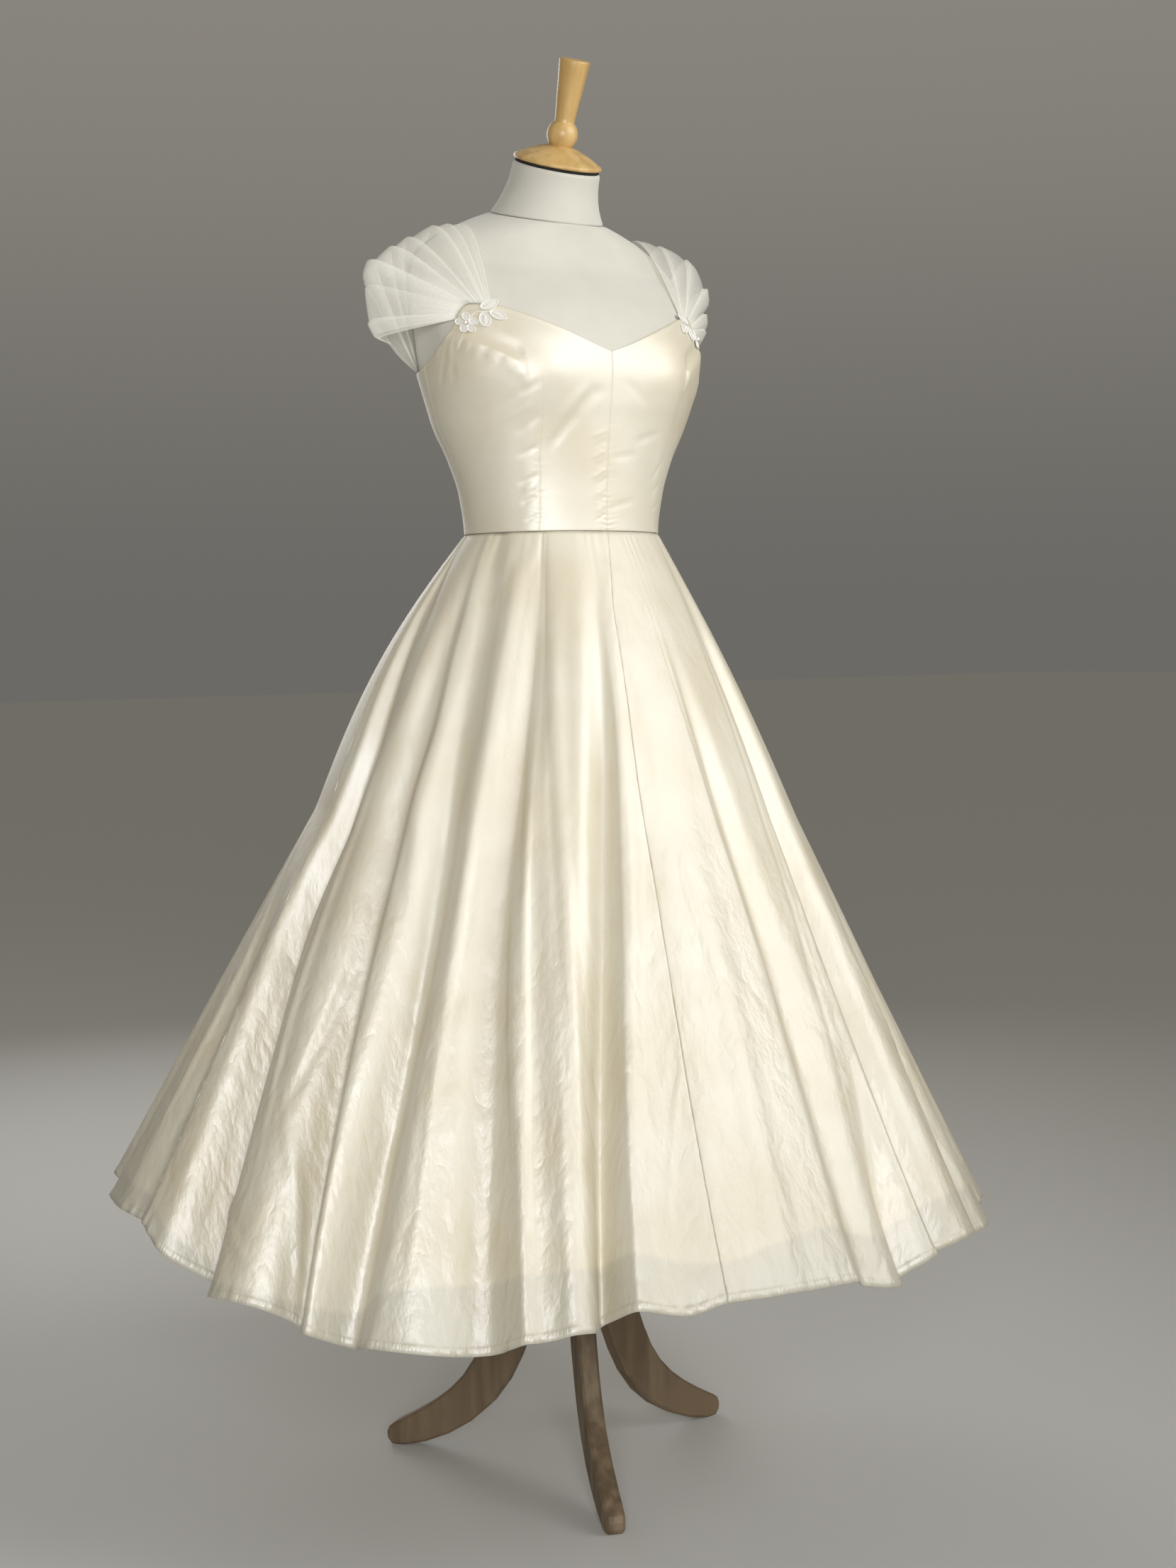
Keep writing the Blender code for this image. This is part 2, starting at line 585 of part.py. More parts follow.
def make_skirt(look):
    down = np.array(SKIRT_ROWS)
    half = np.full(len(down), SEAM_GAP / 2)
    beside_zip = np.where(down <= ZIP_END, ZIP_HALF_WIDTH + SEAM_GAP, SEAM_GAP / 2)
    panels = {
        "skirt_front_right": (-180, -102, half, half),
        "skirt_front_left": (-102, 0, half, half),
        "skirt_back_left": (0, 90, half, beside_zip),
        "skirt_back_right": (90, 180, beside_zip, half),
    }
    for name, (start, end, start_gap, end_gap) in panels.items():
        stations = skirt_stations(start, end)
        angle = np.repeat(stations[None, :], len(down), axis=0)
        outer = skirt(angle, down[:, None])
        outer[:, 0] = edge_beside(outer[:, 0], skirt(start + NEAR_SEAM, down), start_gap[:, None])
        outer[:, -1] = edge_beside(outer[:, -1], skirt(end - NEAR_SEAM, down), end_gap[:, None])
        add(name, wall_mesh(name, outer, outer + skirt_inward(angle, down[:, None]) * WALL), look)


def skirt_inward(angle, down):
    """Unit vectors from the skirt's outside into its cloth."""
    turn_step, down_step = 0.15, 0.004
    down = np.broadcast_to(down, angle.shape)
    low = np.minimum(down + down_step, 1)
    high = np.maximum(down - down_step, 0)
    around = skirt(angle + turn_step, down) - skirt(angle - turn_step, down)
    along = skirt(angle, low) - skirt(angle, high)
    inward = np.cross(around, along)
    return inward / np.linalg.norm(inward, axis=-1, keepdims=True)


# --- sleeves -------------------------------------------------------------------------------------------


def gathered(across, places):
    """Where the sleeve's strands meet the top edge of the bodice, on the wearer's right."""
    angle = -90 - (places[0] + (places[1] - places[0]) * across)
    return figure(angle, top_height(angle) + GATHER_LIFT, EASE)


def sleeve(across, along, reach):
    """Points of the right sleeve: across its fan from the neck to the free edge, and along from front to
    back. Each strand leaves the front gather, turns over the shoulder and ends at the back gather."""
    crest = np.array(SLEEVE_CREST)
    places = np.linspace(0, 1, len(crest))
    top = np.stack([smooth(across, places, crest[:, i]) for i in range(3)], axis=-1)
    beyond = np.minimum(top[..., 0] + SHOULDER_ACROSS, 0)
    top[..., 0] -= beyond * (1 - reach)
    front = gathered(across, SLEEVE_FRONT_GATHER)
    back = gathered(across, SLEEVE_BACK_GATHER)
    middle = (8 * top - front - back) / 6
    turn = np.array([0, SLEEVE_TURN, 0])
    v = along[..., None]
    return (
        (1 - v) ** 3 * front
        + 3 * v * (1 - v) ** 2 * (middle - turn)
        + 3 * v**2 * (1 - v) * (middle + turn)
        + v**3 * back
    )


def make_sleeves(look):
    folds = columns(SLEEVE_FOLDS, SLEEVE_FOLD_NAMES)
    places = [0.0, 1.0]
    for share in (-0.9, -0.45, 0.0, 0.45):
        places += list(np.clip(folds["across"] + share * folds["half_width"], 0.004, 0.994))
    across, along = np.meshgrid(np.unique(places), np.linspace(0, 1, SLEEVE_ROWS + 1))
    wave = sum(
        high * np.cos(np.pi / 2 * np.clip((across - at) / wide, -1, 1)) ** 2
        for at, wide, high in zip(folds["across"], folds["half_width"], folds["height"])
    )
    for name, side, reach in (("sleeve_right", 1, 1.0), ("sleeve_left", -1, SLEEVE_REACH_LEFT)):
        grid = sleeve(across, along, reach)
        normal = normals_of(grid)
        outward = np.where((normal * (grid - np.array([0.0, 0.0, 1.2]))).sum(axis=-1).mean() > 0, 1, -1)
        grid = grid + normal * outward * (wave * np.sin(np.pi * along) ** 0.7)[..., None]
        inner = clear_of_figure(grid, SLEEVE_CLEAR[0] + SLEEVE_CLEAR[1] * np.sin(np.pi * along) ** 0.5)
        normal = normals_of(inner)
        outward = np.where((normal * (inner - np.array([0.0, 0.0, 1.2]))).sum(axis=-1).mean() > 0, 1, -1)
        outer = inner + normal * outward * TULLE_WALL
        outer[..., 0] *= side
        inner[..., 0] *= side
        add(name, wall_mesh(name, outer, inner), look)


# --- appliqué ------------------------------------------------------------------------------------------


def on_bodice(side, along, up, out):
    """A place on the bodice beside the flower: along towards the centre front, and up, in metres."""
    step = 0.5
    base = figure(np.array(-90 - FLOWER_FROM_FRONT), np.array(FLOWER_HEIGHT))
    beside = figure(np.array(-90 - FLOWER_FROM_FRONT + step), np.array(FLOWER_HEIGHT))
    degrees = along * step / np.linalg.norm(beside - base)
    angle = -90 - FLOWER_FROM_FRONT + degrees
    point = figure(angle, FLOWER_HEIGHT + up * 0.93, out)
    point[..., 0] *= -side
    return point


def sprig_piece(name, side, outline, centre, look):
    """A thin pad on the bodice: its outline as offsets from a centre, both along and up the cloth."""
    low = EASE + WALL + SPRIG_LIFT
    shares = (0.5, 1.0)
    bm = bmesh.new()
    skins = []
    for out in (low, low + SPRIG_THICKNESS):
        middle = bm.verts.new(on_bodice(side, np.array(centre[0]), np.array(centre[1]), out))
        rings = []
        for share in shares:
            along = centre[0] + outline[:, 0] * share
            up = centre[1] + outline[:, 1] * share
            rings.append([bm.verts.new(p) for p in on_bodice(side, along, up, out)])
        skins.append((middle, rings))
    count = len(outline)
    for middle, rings in skins:
        for i in range(count):
            j = (i + 1) % count
            bm.faces.new((middle, rings[0][i], rings[0][j]))
            bm.faces.new((rings[0][i], rings[1][i], rings[1][j], rings[0][j]))
    for i in range(count):
        j = (i + 1) % count
        bm.faces.new((skins[0][1][1][i], skins[0][1][1][j], skins[1][1][1][j], skins[1][1][1][i]))
    add(name, mesh_of(bm, name, 40), look)


def make_sprigs(look):
    turn = np.linspace(0, 2 * np.pi, 4 * PETALS, endpoint=False)
    radius = FLOWER_RADIUS * (1 - PETAL_DIP * (0.5 - 0.5 * np.cos(PETALS * turn)))
    flower = np.stack([radius * np.cos(turn), radius * np.sin(turn)], axis=1)
    turn = np.linspace(0, 2 * np.pi, 12, endpoint=False)
    for side_name, side in (("right", -1), ("left", 1)):
        sprig_piece(f"applique_flower_{side_name}", side, flower, (0.0, 0.0), look)
        for number, (along, up, half_length, half_width, lean) in enumerate(LEAVES, 1):
            a = math.radians(lean)
            long, wide = half_length * np.cos(turn), half_width * np.sin(turn)
            leaf = np.stack([long * math.cos(a) - wide * math.sin(a), long * math.sin(a) + wide * math.cos(a)], axis=1)
            sprig_piece(f"applique_leaf_{side_name}_{number}", side, leaf, (along, up), look)


# --- zip -----------------------------------------------------------------------------------------------


def centre_back(height, out):
    return figure(np.full(np.shape(height), 90.0), height, out)


def make_zip(look, metal):
    half = ZIP_HALF_WIDTH
    heights = np.linspace(top_height(np.array(90.0)) - 0.0005, WAIST_HEIGHT + 0.001, 10)
    shares = np.linspace(0.01, ZIP_END - 0.01, 5)
    outer_line = np.concatenate([centre_back(heights, EASE + WALL), skirt(90.0, shares)])
    into = skirt_inward(np.full(5, 90.0), shares) * WALL
    inner_line = np.concatenate([centre_back(heights, EASE), skirt(90.0, shares) + into])
    across = np.array([half, 0, 0])
    outer = np.stack([outer_line + across, outer_line - across], axis=1)
    inner = np.stack([inner_line + across, inner_line - across], axis=1)
    add("back_zip", wall_mesh("back_zip", outer, inner), look)

    surface = float(centre_back(np.array(SLIDER_HEIGHT + 0.006), EASE + WALL)[1]) + SEAM_GAP
    wide, deep, tall = SLIDER_SIZE
    plate = [(-wide / 2, -tall / 2 + 0.002), (-wide / 2 + 0.002, -tall / 2), (wide / 2 - 0.002, -tall / 2)]
    plate += [(wide / 2, -tall / 2 + 0.002), (wide / 2, tall / 2), (-wide / 2, tall / 2)]
    frame = Matrix.Translation((0, surface + deep / 2, SLIDER_HEIGHT))
    slider = add("zip_slider", plate_mesh("zip_slider", plate, deep, frame), metal)

    face = surface + deep
    long, high = BRIDGE_HALF_LENGTH, BRIDGE_INSIDE
    arch = [(-long, -0.001), (-long, high + BRIDGE_METAL), (long, high + BRIDGE_METAL), (long, -0.001)]
    arch += [(long - BRIDGE_METAL, -0.001), (long - BRIDGE_METAL, high), (BRIDGE_METAL - long, high)]
    arch += [(BRIDGE_METAL - long, -0.001)]
    upright = Matrix.Translation((0, face, SLIDER_HEIGHT)) @ Matrix(
        ((0, 1, 0, 0), (0, 0, 1, 0), (1, 0, 0, 0), (0, 0, 0, 1))
    )
    bridge = add("zip_bridge_shape", plate_mesh("zip_bridge", arch, BRIDGE_WIDTH, upright), metal)
    bridge.hide_render = True
    bridge.display_type = "WIRE"
    joined = slider.modifiers.new("bridge", "BOOLEAN")
    joined.operation = "UNION"
    joined.object = bridge

    pivot = bpy.data.objects.new("zip_pull_pivot", None)
    bpy.context.scene.collection.objects.link(pivot)
    pivot.location = CENTRE_SHIFT + Vector((0, face + PULL_PIVOT_OUT, SLIDER_HEIGHT))
    tab = [(-0.0026, 0.0007), (-0.0026, -0.0060), (-0.0016, -0.0085)]
    for i in range(7):
        a = math.pi + math.pi * i / 6
        tab.append((0.0026 * math.cos(a), -PULL_LENGTH + 0.0026 + 0.0026 * math.sin(a)))
    tab += [(0.0016, -0.0085), (0.0026, -0.0060), (0.0026, 0.0007)]
    pull = add("zip_pull", plate_mesh("zip_pull", tab, PULL_THICKNESS, Matrix.Identity(4)), metal, pivot)
    window_outline = [(-0.0016, -0.0007), (-0.0016, -0.0052), (0.0016, -0.0052), (0.0016, -0.0007)]
    window_mesh = plate_mesh("zip_pull_window", window_outline, 3 * PULL_THICKNESS, Matrix.Identity(4))
    window = add("zip_pull_window_shape", window_mesh, metal, pivot)
    window.hide_render = True
    window.display_type = "WIRE"
    cut = pull.modifiers.new("window", "BOOLEAN")
    cut.operation = "DIFFERENCE"
    cut.object = window


def main():
    for old in list(bpy.data.objects):
        bpy.data.objects.remove(old, do_unlink=True)
    satin = material("ivory satin", (0.80, 0.75, 0.62), 0.42)
    tulle = material("ivory tulle", (0.86, 0.85, 0.80), 0.85)
    lace = material("white appliqué", (0.88, 0.87, 0.82), 0.70)
    jersey = material("pale grey jersey", (0.66, 0.65, 0.61), 0.95)
    beech = material("varnished beech", (0.64, 0.40, 0.15), 0.32)
    leg_wood = material("matt brown wood", (0.32, 0.23, 0.14), 0.62)
    dark = material("dark felt", (0.03, 0.03, 0.03), 0.90)
    steel = material("steel tube", (0.45, 0.45, 0.46), 0.35, 1.0)
    tape = material("ivory zip", (0.78, 0.73, 0.60), 0.60)
    make_form(jersey)
    make_neck(jersey, dark, beech)
    make_stand(leg_wood, steel)
    make_bodice(satin)
    make_skirt(satin)
    make_sleeves(tulle)
    make_sprigs(lace)
    make_zip(tape, steel)


main()
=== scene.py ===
"""The looks of a wedding dress on its dress form, in metres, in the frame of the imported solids.

The front of the dress faces -Y and the wearer's left is +X. Angles are in degrees round +Z, so -90 is the
centre front, 90 the centre back, 0 the wearer's left side and 180 (or -180) the wearer's right side.
"""

import math

import bmesh
import bpy
import numpy as np
from mathutils import Matrix, Vector


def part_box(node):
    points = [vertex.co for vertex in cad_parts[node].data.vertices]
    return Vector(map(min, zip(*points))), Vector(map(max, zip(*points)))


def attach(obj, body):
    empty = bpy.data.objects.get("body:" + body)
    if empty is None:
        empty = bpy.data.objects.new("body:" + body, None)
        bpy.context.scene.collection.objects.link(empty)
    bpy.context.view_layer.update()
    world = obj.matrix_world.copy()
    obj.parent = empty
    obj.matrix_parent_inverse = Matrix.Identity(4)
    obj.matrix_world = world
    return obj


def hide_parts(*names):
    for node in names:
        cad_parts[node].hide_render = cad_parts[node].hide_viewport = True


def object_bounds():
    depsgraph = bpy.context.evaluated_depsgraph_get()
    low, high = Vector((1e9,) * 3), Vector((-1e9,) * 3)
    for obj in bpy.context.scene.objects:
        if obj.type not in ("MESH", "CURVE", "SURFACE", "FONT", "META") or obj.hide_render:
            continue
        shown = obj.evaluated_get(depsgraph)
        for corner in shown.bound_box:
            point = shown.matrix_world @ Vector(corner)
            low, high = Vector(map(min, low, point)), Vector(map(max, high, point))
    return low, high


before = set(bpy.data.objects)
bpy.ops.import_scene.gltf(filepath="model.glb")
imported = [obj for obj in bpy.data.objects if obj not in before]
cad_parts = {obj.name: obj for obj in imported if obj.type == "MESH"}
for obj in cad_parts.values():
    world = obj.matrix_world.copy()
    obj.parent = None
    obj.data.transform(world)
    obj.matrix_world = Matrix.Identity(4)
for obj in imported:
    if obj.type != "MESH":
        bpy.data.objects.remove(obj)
solid_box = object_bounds()

# --- the form's torso ----------------------------------------------------------------------------------
# A hollow bust of pressed board under a tight cover of pale grey cotton jersey, without arms or head.
# Each shoulder ends in a flat plate that the jersey is pulled over.

hub_low, hub_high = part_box("stand_hub")
STAND_AXIS = np.array([(hub_low[0] + hub_high[0]) / 2, (hub_low[1] + hub_high[1]) / 2, 0.0])

# The form's rings from the hip to the neck seam. Front and back are distances from the stand's axis, tilt
# is how far the ring leans forward, and square is the power of the front's outline, 2 for an ellipse.
FIGURE_NAMES = ("height", "half_width", "front", "back", "tilt", "square")
FIGURE = (
    (0.840, 0.150, 0.112, 0.118, 0.0, 2.0),
    (0.870, 0.163, 0.120, 0.128, 0.0, 2.0),
    (0.920, 0.166, 0.122, 0.130, 0.0, 2.0),
    (0.980, 0.150, 0.116, 0.116, 0.0, 2.0),
    (1.040, 0.125, 0.109, 0.092, 0.0, 2.0),
    (1.094, 0.1147, 0.1050, 0.0811, 0.0, 2.0),
    (1.138, 0.1212, 0.1066, 0.0811, 0.0, 2.0),
    (1.178, 0.1345, 0.1101, 0.0871, 0.0, 2.05),
    (1.216, 0.1530, 0.1145, 0.0941, 0.0, 2.1),
    (1.239, 0.1605, 0.1180, 0.0971, 0.0, 2.2),
    (1.272, 0.1700, 0.1210, 0.1021, 0.0, 2.35),
    (1.300, 0.1735, 0.1180, 0.1050, 0.0, 2.35),
    (1.340, 0.1750, 0.1020, 0.1050, 0.0, 2.2),
    (1.375, 0.1745, 0.0820, 0.1010, 3.0, 2.1),
    (1.398, 0.1680, 0.0660, 0.0950, 6.0, 2.0),
    (1.417, 0.1500, 0.0580, 0.0880, 9.0, 2.0),
    (1.432, 0.1260, 0.0550, 0.0810, 12.0, 2.0),
    (1.446, 0.0940, 0.0560, 0.0760, 14.0, 2.0),
    (1.4557, 0.0655, 0.0580, 0.0740, 15.0, 2.0),
)
BUST_ACROSS = 0.090
BUST_HEIGHT = 1.262
BUST_SPREAD = 0.046
BUST_RISE = 0.010
TORSO_GRID = (128, 96)
ARM_PLATE_ACROSS = 0.170  # the form is cut off flat here at each shoulder
FORM_UNDER = 0.0010  # the form lies this far inside the figure that the dress is cut to
JERSEY_COLOUR = (0.610, 0.590, 0.520)
JERSEY_SHADE = (0.580, 0.558, 0.488)
# painted shade: the dark line along the neck seam stands in for the shade in its groove
JERSEY_SEAM_SHADE = (0.230, 0.215, 0.180)


def columns(table, names):
    """The table as a dictionary of arrays, one for each named column."""
    return dict(zip(names, np.array(table, float).T))


def smooth(at, x, y):
    """A curve through the points (x, y) that never overshoots them, read at the given places."""
    x, y = np.asarray(x, float), np.asarray(y, float)
    step = np.diff(x)
    slope = np.diff(y) / step
    lean = np.zeros(len(x))
    same_way = slope[1:] * slope[:-1] > 0
    harmonic = 2 * slope[1:] * slope[:-1] / np.where(same_way, slope[1:] + slope[:-1], 1)
    lean[1:-1] = np.where(same_way, harmonic, 0)
    lean[0], lean[-1] = slope[0], slope[-1]
    at = np.clip(at, x[0], x[-1])
    i = np.clip(np.searchsorted(x, at) - 1, 0, len(step) - 1)
    u = (at - x[i]) / step[i]
    start = (1 + 2 * u) * (1 - u) ** 2 * y[i] + u * (1 - u) ** 2 * step[i] * lean[i]
    end = u**2 * (3 - 2 * u) * y[i + 1] + u**2 * (u - 1) * step[i] * lean[i + 1]
    return start + end


def ease_in(u):
    u = np.clip(u, 0, 1)
    return u * u * (3 - 2 * u)


def faded_ends(along):
    """1 along the middle of a fold, easing to nothing past both its ends at 0 and 1."""
    return ease_in((along + 0.15) / 0.45) * (1 - ease_in((along - 0.70) / 0.45))


def bump(x):
    """A soft swell, 1 at 0 and nothing beyond -1 and 1."""
    return np.cos(np.pi / 2 * np.clip(x, -1, 1)) ** 2


def figure(angle, height, out=0.0):
    """Points on the form, or moved out from it: angle and height are arrays of the same shape."""
    angle = np.radians(angle)
    height = np.asarray(height, float)
    table = columns(FIGURE, FIGURE_NAMES)
    level = table["height"]
    half_width = smooth(height, level, table["half_width"]) + out
    front = smooth(height, level, table["front"]) + out
    back = smooth(height, level, table["back"]) + out
    tilt = np.radians(smooth(height, level, table["tilt"]))
    bend = np.where(np.sin(angle) < 0, 2 / smooth(height, level, table["square"]), 1.0)
    x = half_width * np.sign(np.cos(angle)) * np.abs(np.cos(angle)) ** bend
    y = (back - front) / 2 + (back + front) / 2 * np.sign(np.sin(angle)) * np.abs(np.sin(angle)) ** bend
    for side in (-1, 1):
        away = ((x - side * BUST_ACROSS) ** 2 + (height - BUST_HEIGHT) ** 2) / BUST_SPREAD**2
        y = y - np.where(np.sin(angle) < 0, BUST_RISE * np.exp(-away), 0)
    cut = ARM_PLATE_ACROSS + np.where(height > 1.20, out, 1)
    z = height + y * np.tan(tilt)
    return np.stack([np.clip(x, -cut, cut), y, z], axis=-1) + STAND_AXIS


def normals_of(grid):
    """Unit normals of a grid of points, its rows going up and its columns round to the left."""
    normal = np.cross(np.gradient(grid, axis=1), np.gradient(grid, axis=0))
    return normal / np.maximum(np.linalg.norm(normal, axis=2, keepdims=True), 1e-12)


def mesh_of(bm, name):
    mesh = bpy.data.meshes.new(name)
    bm.to_mesh(mesh)
    bm.free()
    return mesh


def laid(name, grid, cut, form, ring=False):
    """A sheet of quads laid on a form, with its UV map in metres of the flat cut.

    The grid is how many quads go round and how many go down. form(u, v) gets its places, u from 0 to 1 round
    to the left and v from 0 at the top to 1 below. It gives the points, how far each stands out along its
    normal, and the values to keep on the mesh.
    """
    around, down = grid
    bm = bmesh.new()
    bm.loops.layers.uv.new("cut")
    bmesh.ops.create_grid(bm, x_segments=around, y_segments=down, size=0.5, calc_uvs=True)
    mesh = mesh_of(bm, name)
    flat = np.empty(len(mesh.vertices) * 3)
    mesh.vertices.foreach_get("co", flat)
    flat = flat.reshape(down + 1, around + 1, 3)
    points, rise, values = form(flat[..., 0] + 0.5, 0.5 - flat[..., 1])
    points = points + normals_of(points) * rise[..., None]
    mesh.vertices.foreach_set("co", points.ravel())
    for value_name, value in values.items():
        kept = mesh.attributes.new(value_name, "FLOAT", "POINT")
        kept.data.foreach_set("value", value.ravel())
    uv = np.empty(len(mesh.loops) * 2)
    mesh.uv_layers["cut"].uv.foreach_get("vector", uv)
    mesh.uv_layers["cut"].uv.foreach_set("vector", (uv.reshape(-1, 2) * cut).ravel())
    if ring:
        bm = bmesh.new()
        bm.from_mesh(mesh)
        bmesh.ops.remove_doubles(bm, verts=bm.verts, dist=1e-5)
        bmesh.ops.holes_fill(bm, edges=bm.edges)
        bm.to_mesh(mesh)
        bm.free()
    mesh.shade_smooth()
    return mesh


def piece(name, mesh, finish, body="dress_and_form"):
    """The mesh as an object of the scene, with its finish, riding on a body."""
    made = bpy.data.objects.new(name, mesh)
    made.data.materials.append(finish)
    bpy.context.scene.collection.objects.link(made)
    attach(made, body)
    return made


def new_finish(name, colour, **sockets):
    """A material and its shader, with constants on the shader's own sockets."""
    made = bpy.data.materials.new(name)
    made.use_nodes = True
    shader = made.node_tree.nodes["Principled BSDF"]
    shader.inputs["Base Color"].default_value = (*colour, 1.0)
    for socket, value in sockets.items():
        shader.inputs[socket.replace("_", " ")].default_value = value
    return made, shader


def add_node(made, kind, settings=None, **inputs):
    """A node of a material: inputs are numbers, or the outputs of other nodes."""
    node = made.node_tree.nodes.new("ShaderNode" + kind)
    for setting, value in (settings or {}).items():
        setattr(node, setting, value)
    for name, value in inputs.items():
        socket = node.inputs[int(name[1:])] if name[0] == "i" and name[1:].isdigit() else node.inputs[name]
        if isinstance(value, bpy.types.NodeSocket):
            made.node_tree.links.new(value, socket)
        else:
            socket.default_value = value
    return node


def sums(made, operation, a, b=0.0, c=0.0):
    return add_node(made, "Math", {"operation": operation}, i0=a, i1=b, i2=c).outputs[0]


def times(made, a, b):
    return sums(made, "MULTIPLY", a, b)


def one_minus(made, value):
    return sums(made, "SUBTRACT", 1.0, value)


def mask(made, value, low, high):
    """0 where the value is at low or beyond, 1 where it is at high or beyond, with a soft step between."""
    settings = {"interpolation_type": "SMOOTHSTEP"}
    return add_node(made, "MapRange", settings, Value=value, i1=low, i2=high, i3=0.0, i4=1.0).outputs[0]


def blend_colour(made, share, first, second):
    """From the first colour to the second by the share: colours are triples or outputs."""
    first, second = ((*c, 1.0) if isinstance(c, tuple) else c for c in (first, second))
    return add_node(made, "Mix", {"data_type": "RGBA"}, i0=share, i6=first, i7=second).outputs[2]


def noise(made, place, scale, detail=3.0, stretch=(1.0, 1.0, 1.0)):
    """Noise of a scale in cells a metre, drawn out by the stretch."""
    moved = add_node(made, "Mapping", Vector=place)
    moved.inputs["Scale"].default_value = stretch
    return add_node(made, "TexNoise", Vector=moved.outputs[0], Scale=scale, Detail=detail).outputs["Fac"]


def raise_by(made, shader, height, distance, strength=1.0, under=None):
    """A bump of a height in shares of the distance, over another bump where one is given."""
    relief = add_node(made, "Bump", Height=height, Distance=distance, Strength=strength)
    if under is not None:
        made.node_tree.links.new(under, relief.inputs["Normal"])
    made.node_tree.links.new(relief.outputs[0], shader.inputs["Normal"])
    return relief.outputs[0]


def paint(made, shader, colour):
    made.node_tree.links.new(colour, shader.inputs["Base Color"])


def object_place(made):
    return add_node(made, "TexCoord").outputs["Object"]


def cut_place(made):
    return add_node(made, "UVMap", {"uv_map": "cut"}).outputs[0]


def kept_value(made, name):
    return add_node(made, "Attribute", {"attribute_name": name}).outputs["Fac"]


def textured(made, shader, scale, distance, strength, detail=3.0, stretch=(1.0, 1.0, 1.0)):
    """A fine bump of plain noise all over a finish that needs no more."""
    raise_by(made, shader, noise(made, object_place(made), scale, detail, stretch), distance, strength)


def refinish(node, finish):
    """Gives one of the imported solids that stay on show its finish."""
    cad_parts[node].data.materials.clear()
    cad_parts[node].data.materials.append(finish)


jersey, shader = new_finish(
    "pale grey jersey", JERSEY_COLOUR, Roughness=0.92, Sheen_Weight=0.25, Sheen_Roughness=0.5
)
place = object_place(jersey)
tone = blend_colour(jersey, mask(jersey, noise(jersey, place, 18), 0.35, 0.7), JERSEY_COLOUR, JERSEY_SHADE)
# Painted shade: a dark line along the groove of the neck seam.
seam = kept_value(jersey, "seam")
line = one_minus(jersey, mask(jersey, seam, 0.0002, 0.0011))
paint(jersey, shader, blend_colour(jersey, times(jersey, line, 0.45), tone, JERSEY_SEAM_SHADE))
knit = noise(jersey, place, 1700, 2, (1.0, 1.0, 0.35))
raise_by(jersey, shader, sums(jersey, "ADD", knit, noise(jersey, place, 220)), 0.00022, 0.5)


def torso_form(u, v):
    table = columns(FIGURE, FIGURE_NAMES)
    levels = smooth(1 - v**1.6, np.linspace(0, 1, len(FIGURE)), table["height"])
    from_seam = table["height"][-1] - levels
    rise = -0.0008 * np.exp(-((from_seam / 0.0014) ** 2))
    return figure(-180 + 360 * u, levels, -FORM_UNDER), rise, {"seam": from_seam}


torso = piece("torso_jersey", laid("torso_jersey", TORSO_GRID, (1.0, 0.7), torso_form, ring=True), jersey)
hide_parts("form_torso")

# --- neck, cap and handle ------------------------------------------------------------------------------
# The jersey runs up a collar of board that leans forward, seamed to the torso's cover. A cap turned from
# varnished beech closes it, with a ball and a tapered handle to lift the form by, over a dark felt disc.

SEAM_CENTRE = np.array([0.0, 0.0080, 1.4580])
SEAM_TILT = 15.0
CAP_CENTRE = np.array([0.0, -0.0171, 1.5149])
CAP_TILT = 20.8
COLLAR_RADIUS = 0.0655
NECK_RADIUS = 0.0505
NECK_LENGTH = 0.058
NECK_GRID = (96, 48)
# Turned profile of the cap, from the rim up: radius and height along the leaning axis.
CAP_PROFILE = (
    (0.0, 0.0006), (0.0460, 0.0006), (0.0490, 0.0), (0.0507, 0.0010), (0.0511, 0.0026), (0.0504, 0.0042),
    (0.0470, 0.0060), (0.0400, 0.0101), (0.0310, 0.0146), (0.0210, 0.0184), (0.0150, 0.0200),
    (0.0128, 0.0203),
)
BALL_RADIUS = 0.0178
BALL_UP = 0.0330
HANDLE_BOTTOM_RADIUS = 0.0113
HANDLE_TOP_RADIUS = 0.0174
HANDLE_TOP_UP = 0.1155
HANDLE_ROUNDING = 0.0022
BEECH = (0.570, 0.370, 0.135)
BEECH_DARK = (0.500, 0.310, 0.100)
BEECH_PALE = (0.640, 0.440, 0.185)


def crowded(u, share=0.75):
    """Even steps from 0 to 1, drawn closer together at both ends for the seams and edges there."""
    return u - share * np.sin(2 * np.pi * u) / (2 * np.pi)


def neck_form(u, v):
    share = 1 - crowded(v, 0.6)
    tilt = np.radians(SEAM_TILT + (CAP_TILT - SEAM_TILT) * share)
    foot = SEAM_CENTRE + (CAP_CENTRE - SEAM_CENTRE) * share[..., None]
    radius = NECK_RADIUS + (COLLAR_RADIUS - NECK_RADIUS) * (1 - share) ** 2.2
    lift = -0.0035 * share
    turn = 2 * np.pi * u
    x, y = radius * np.cos(turn), radius * np.sin(turn)
    back = y * np.cos(tilt) - lift * np.sin(tilt)
    up = y * np.sin(tilt) + lift * np.cos(tilt)
    leaning = np.stack([x, back, up], axis=-1)
    from_seam, from_rim = share * NECK_LENGTH, (1 - share) * NECK_LENGTH
    rise = -0.0009 * np.exp(-((from_seam / 0.0011) ** 2)) - 0.0016 * np.exp(-((from_rim / 0.0018) ** 2))
    return foot + leaning + STAND_AXIS, rise, {"seam": from_seam}


neck = piece("neck_jersey", laid("neck_jersey", NECK_GRID, (0.36, 0.06), neck_form, ring=True), jersey)
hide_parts("form_neck")

felt, shader = new_finish("dark felt", (0.012, 0.012, 0.012), Roughness=0.95)
textured(felt, shader, 900, 0.0006, 0.6)
refinish("cap_gap_disc", felt)


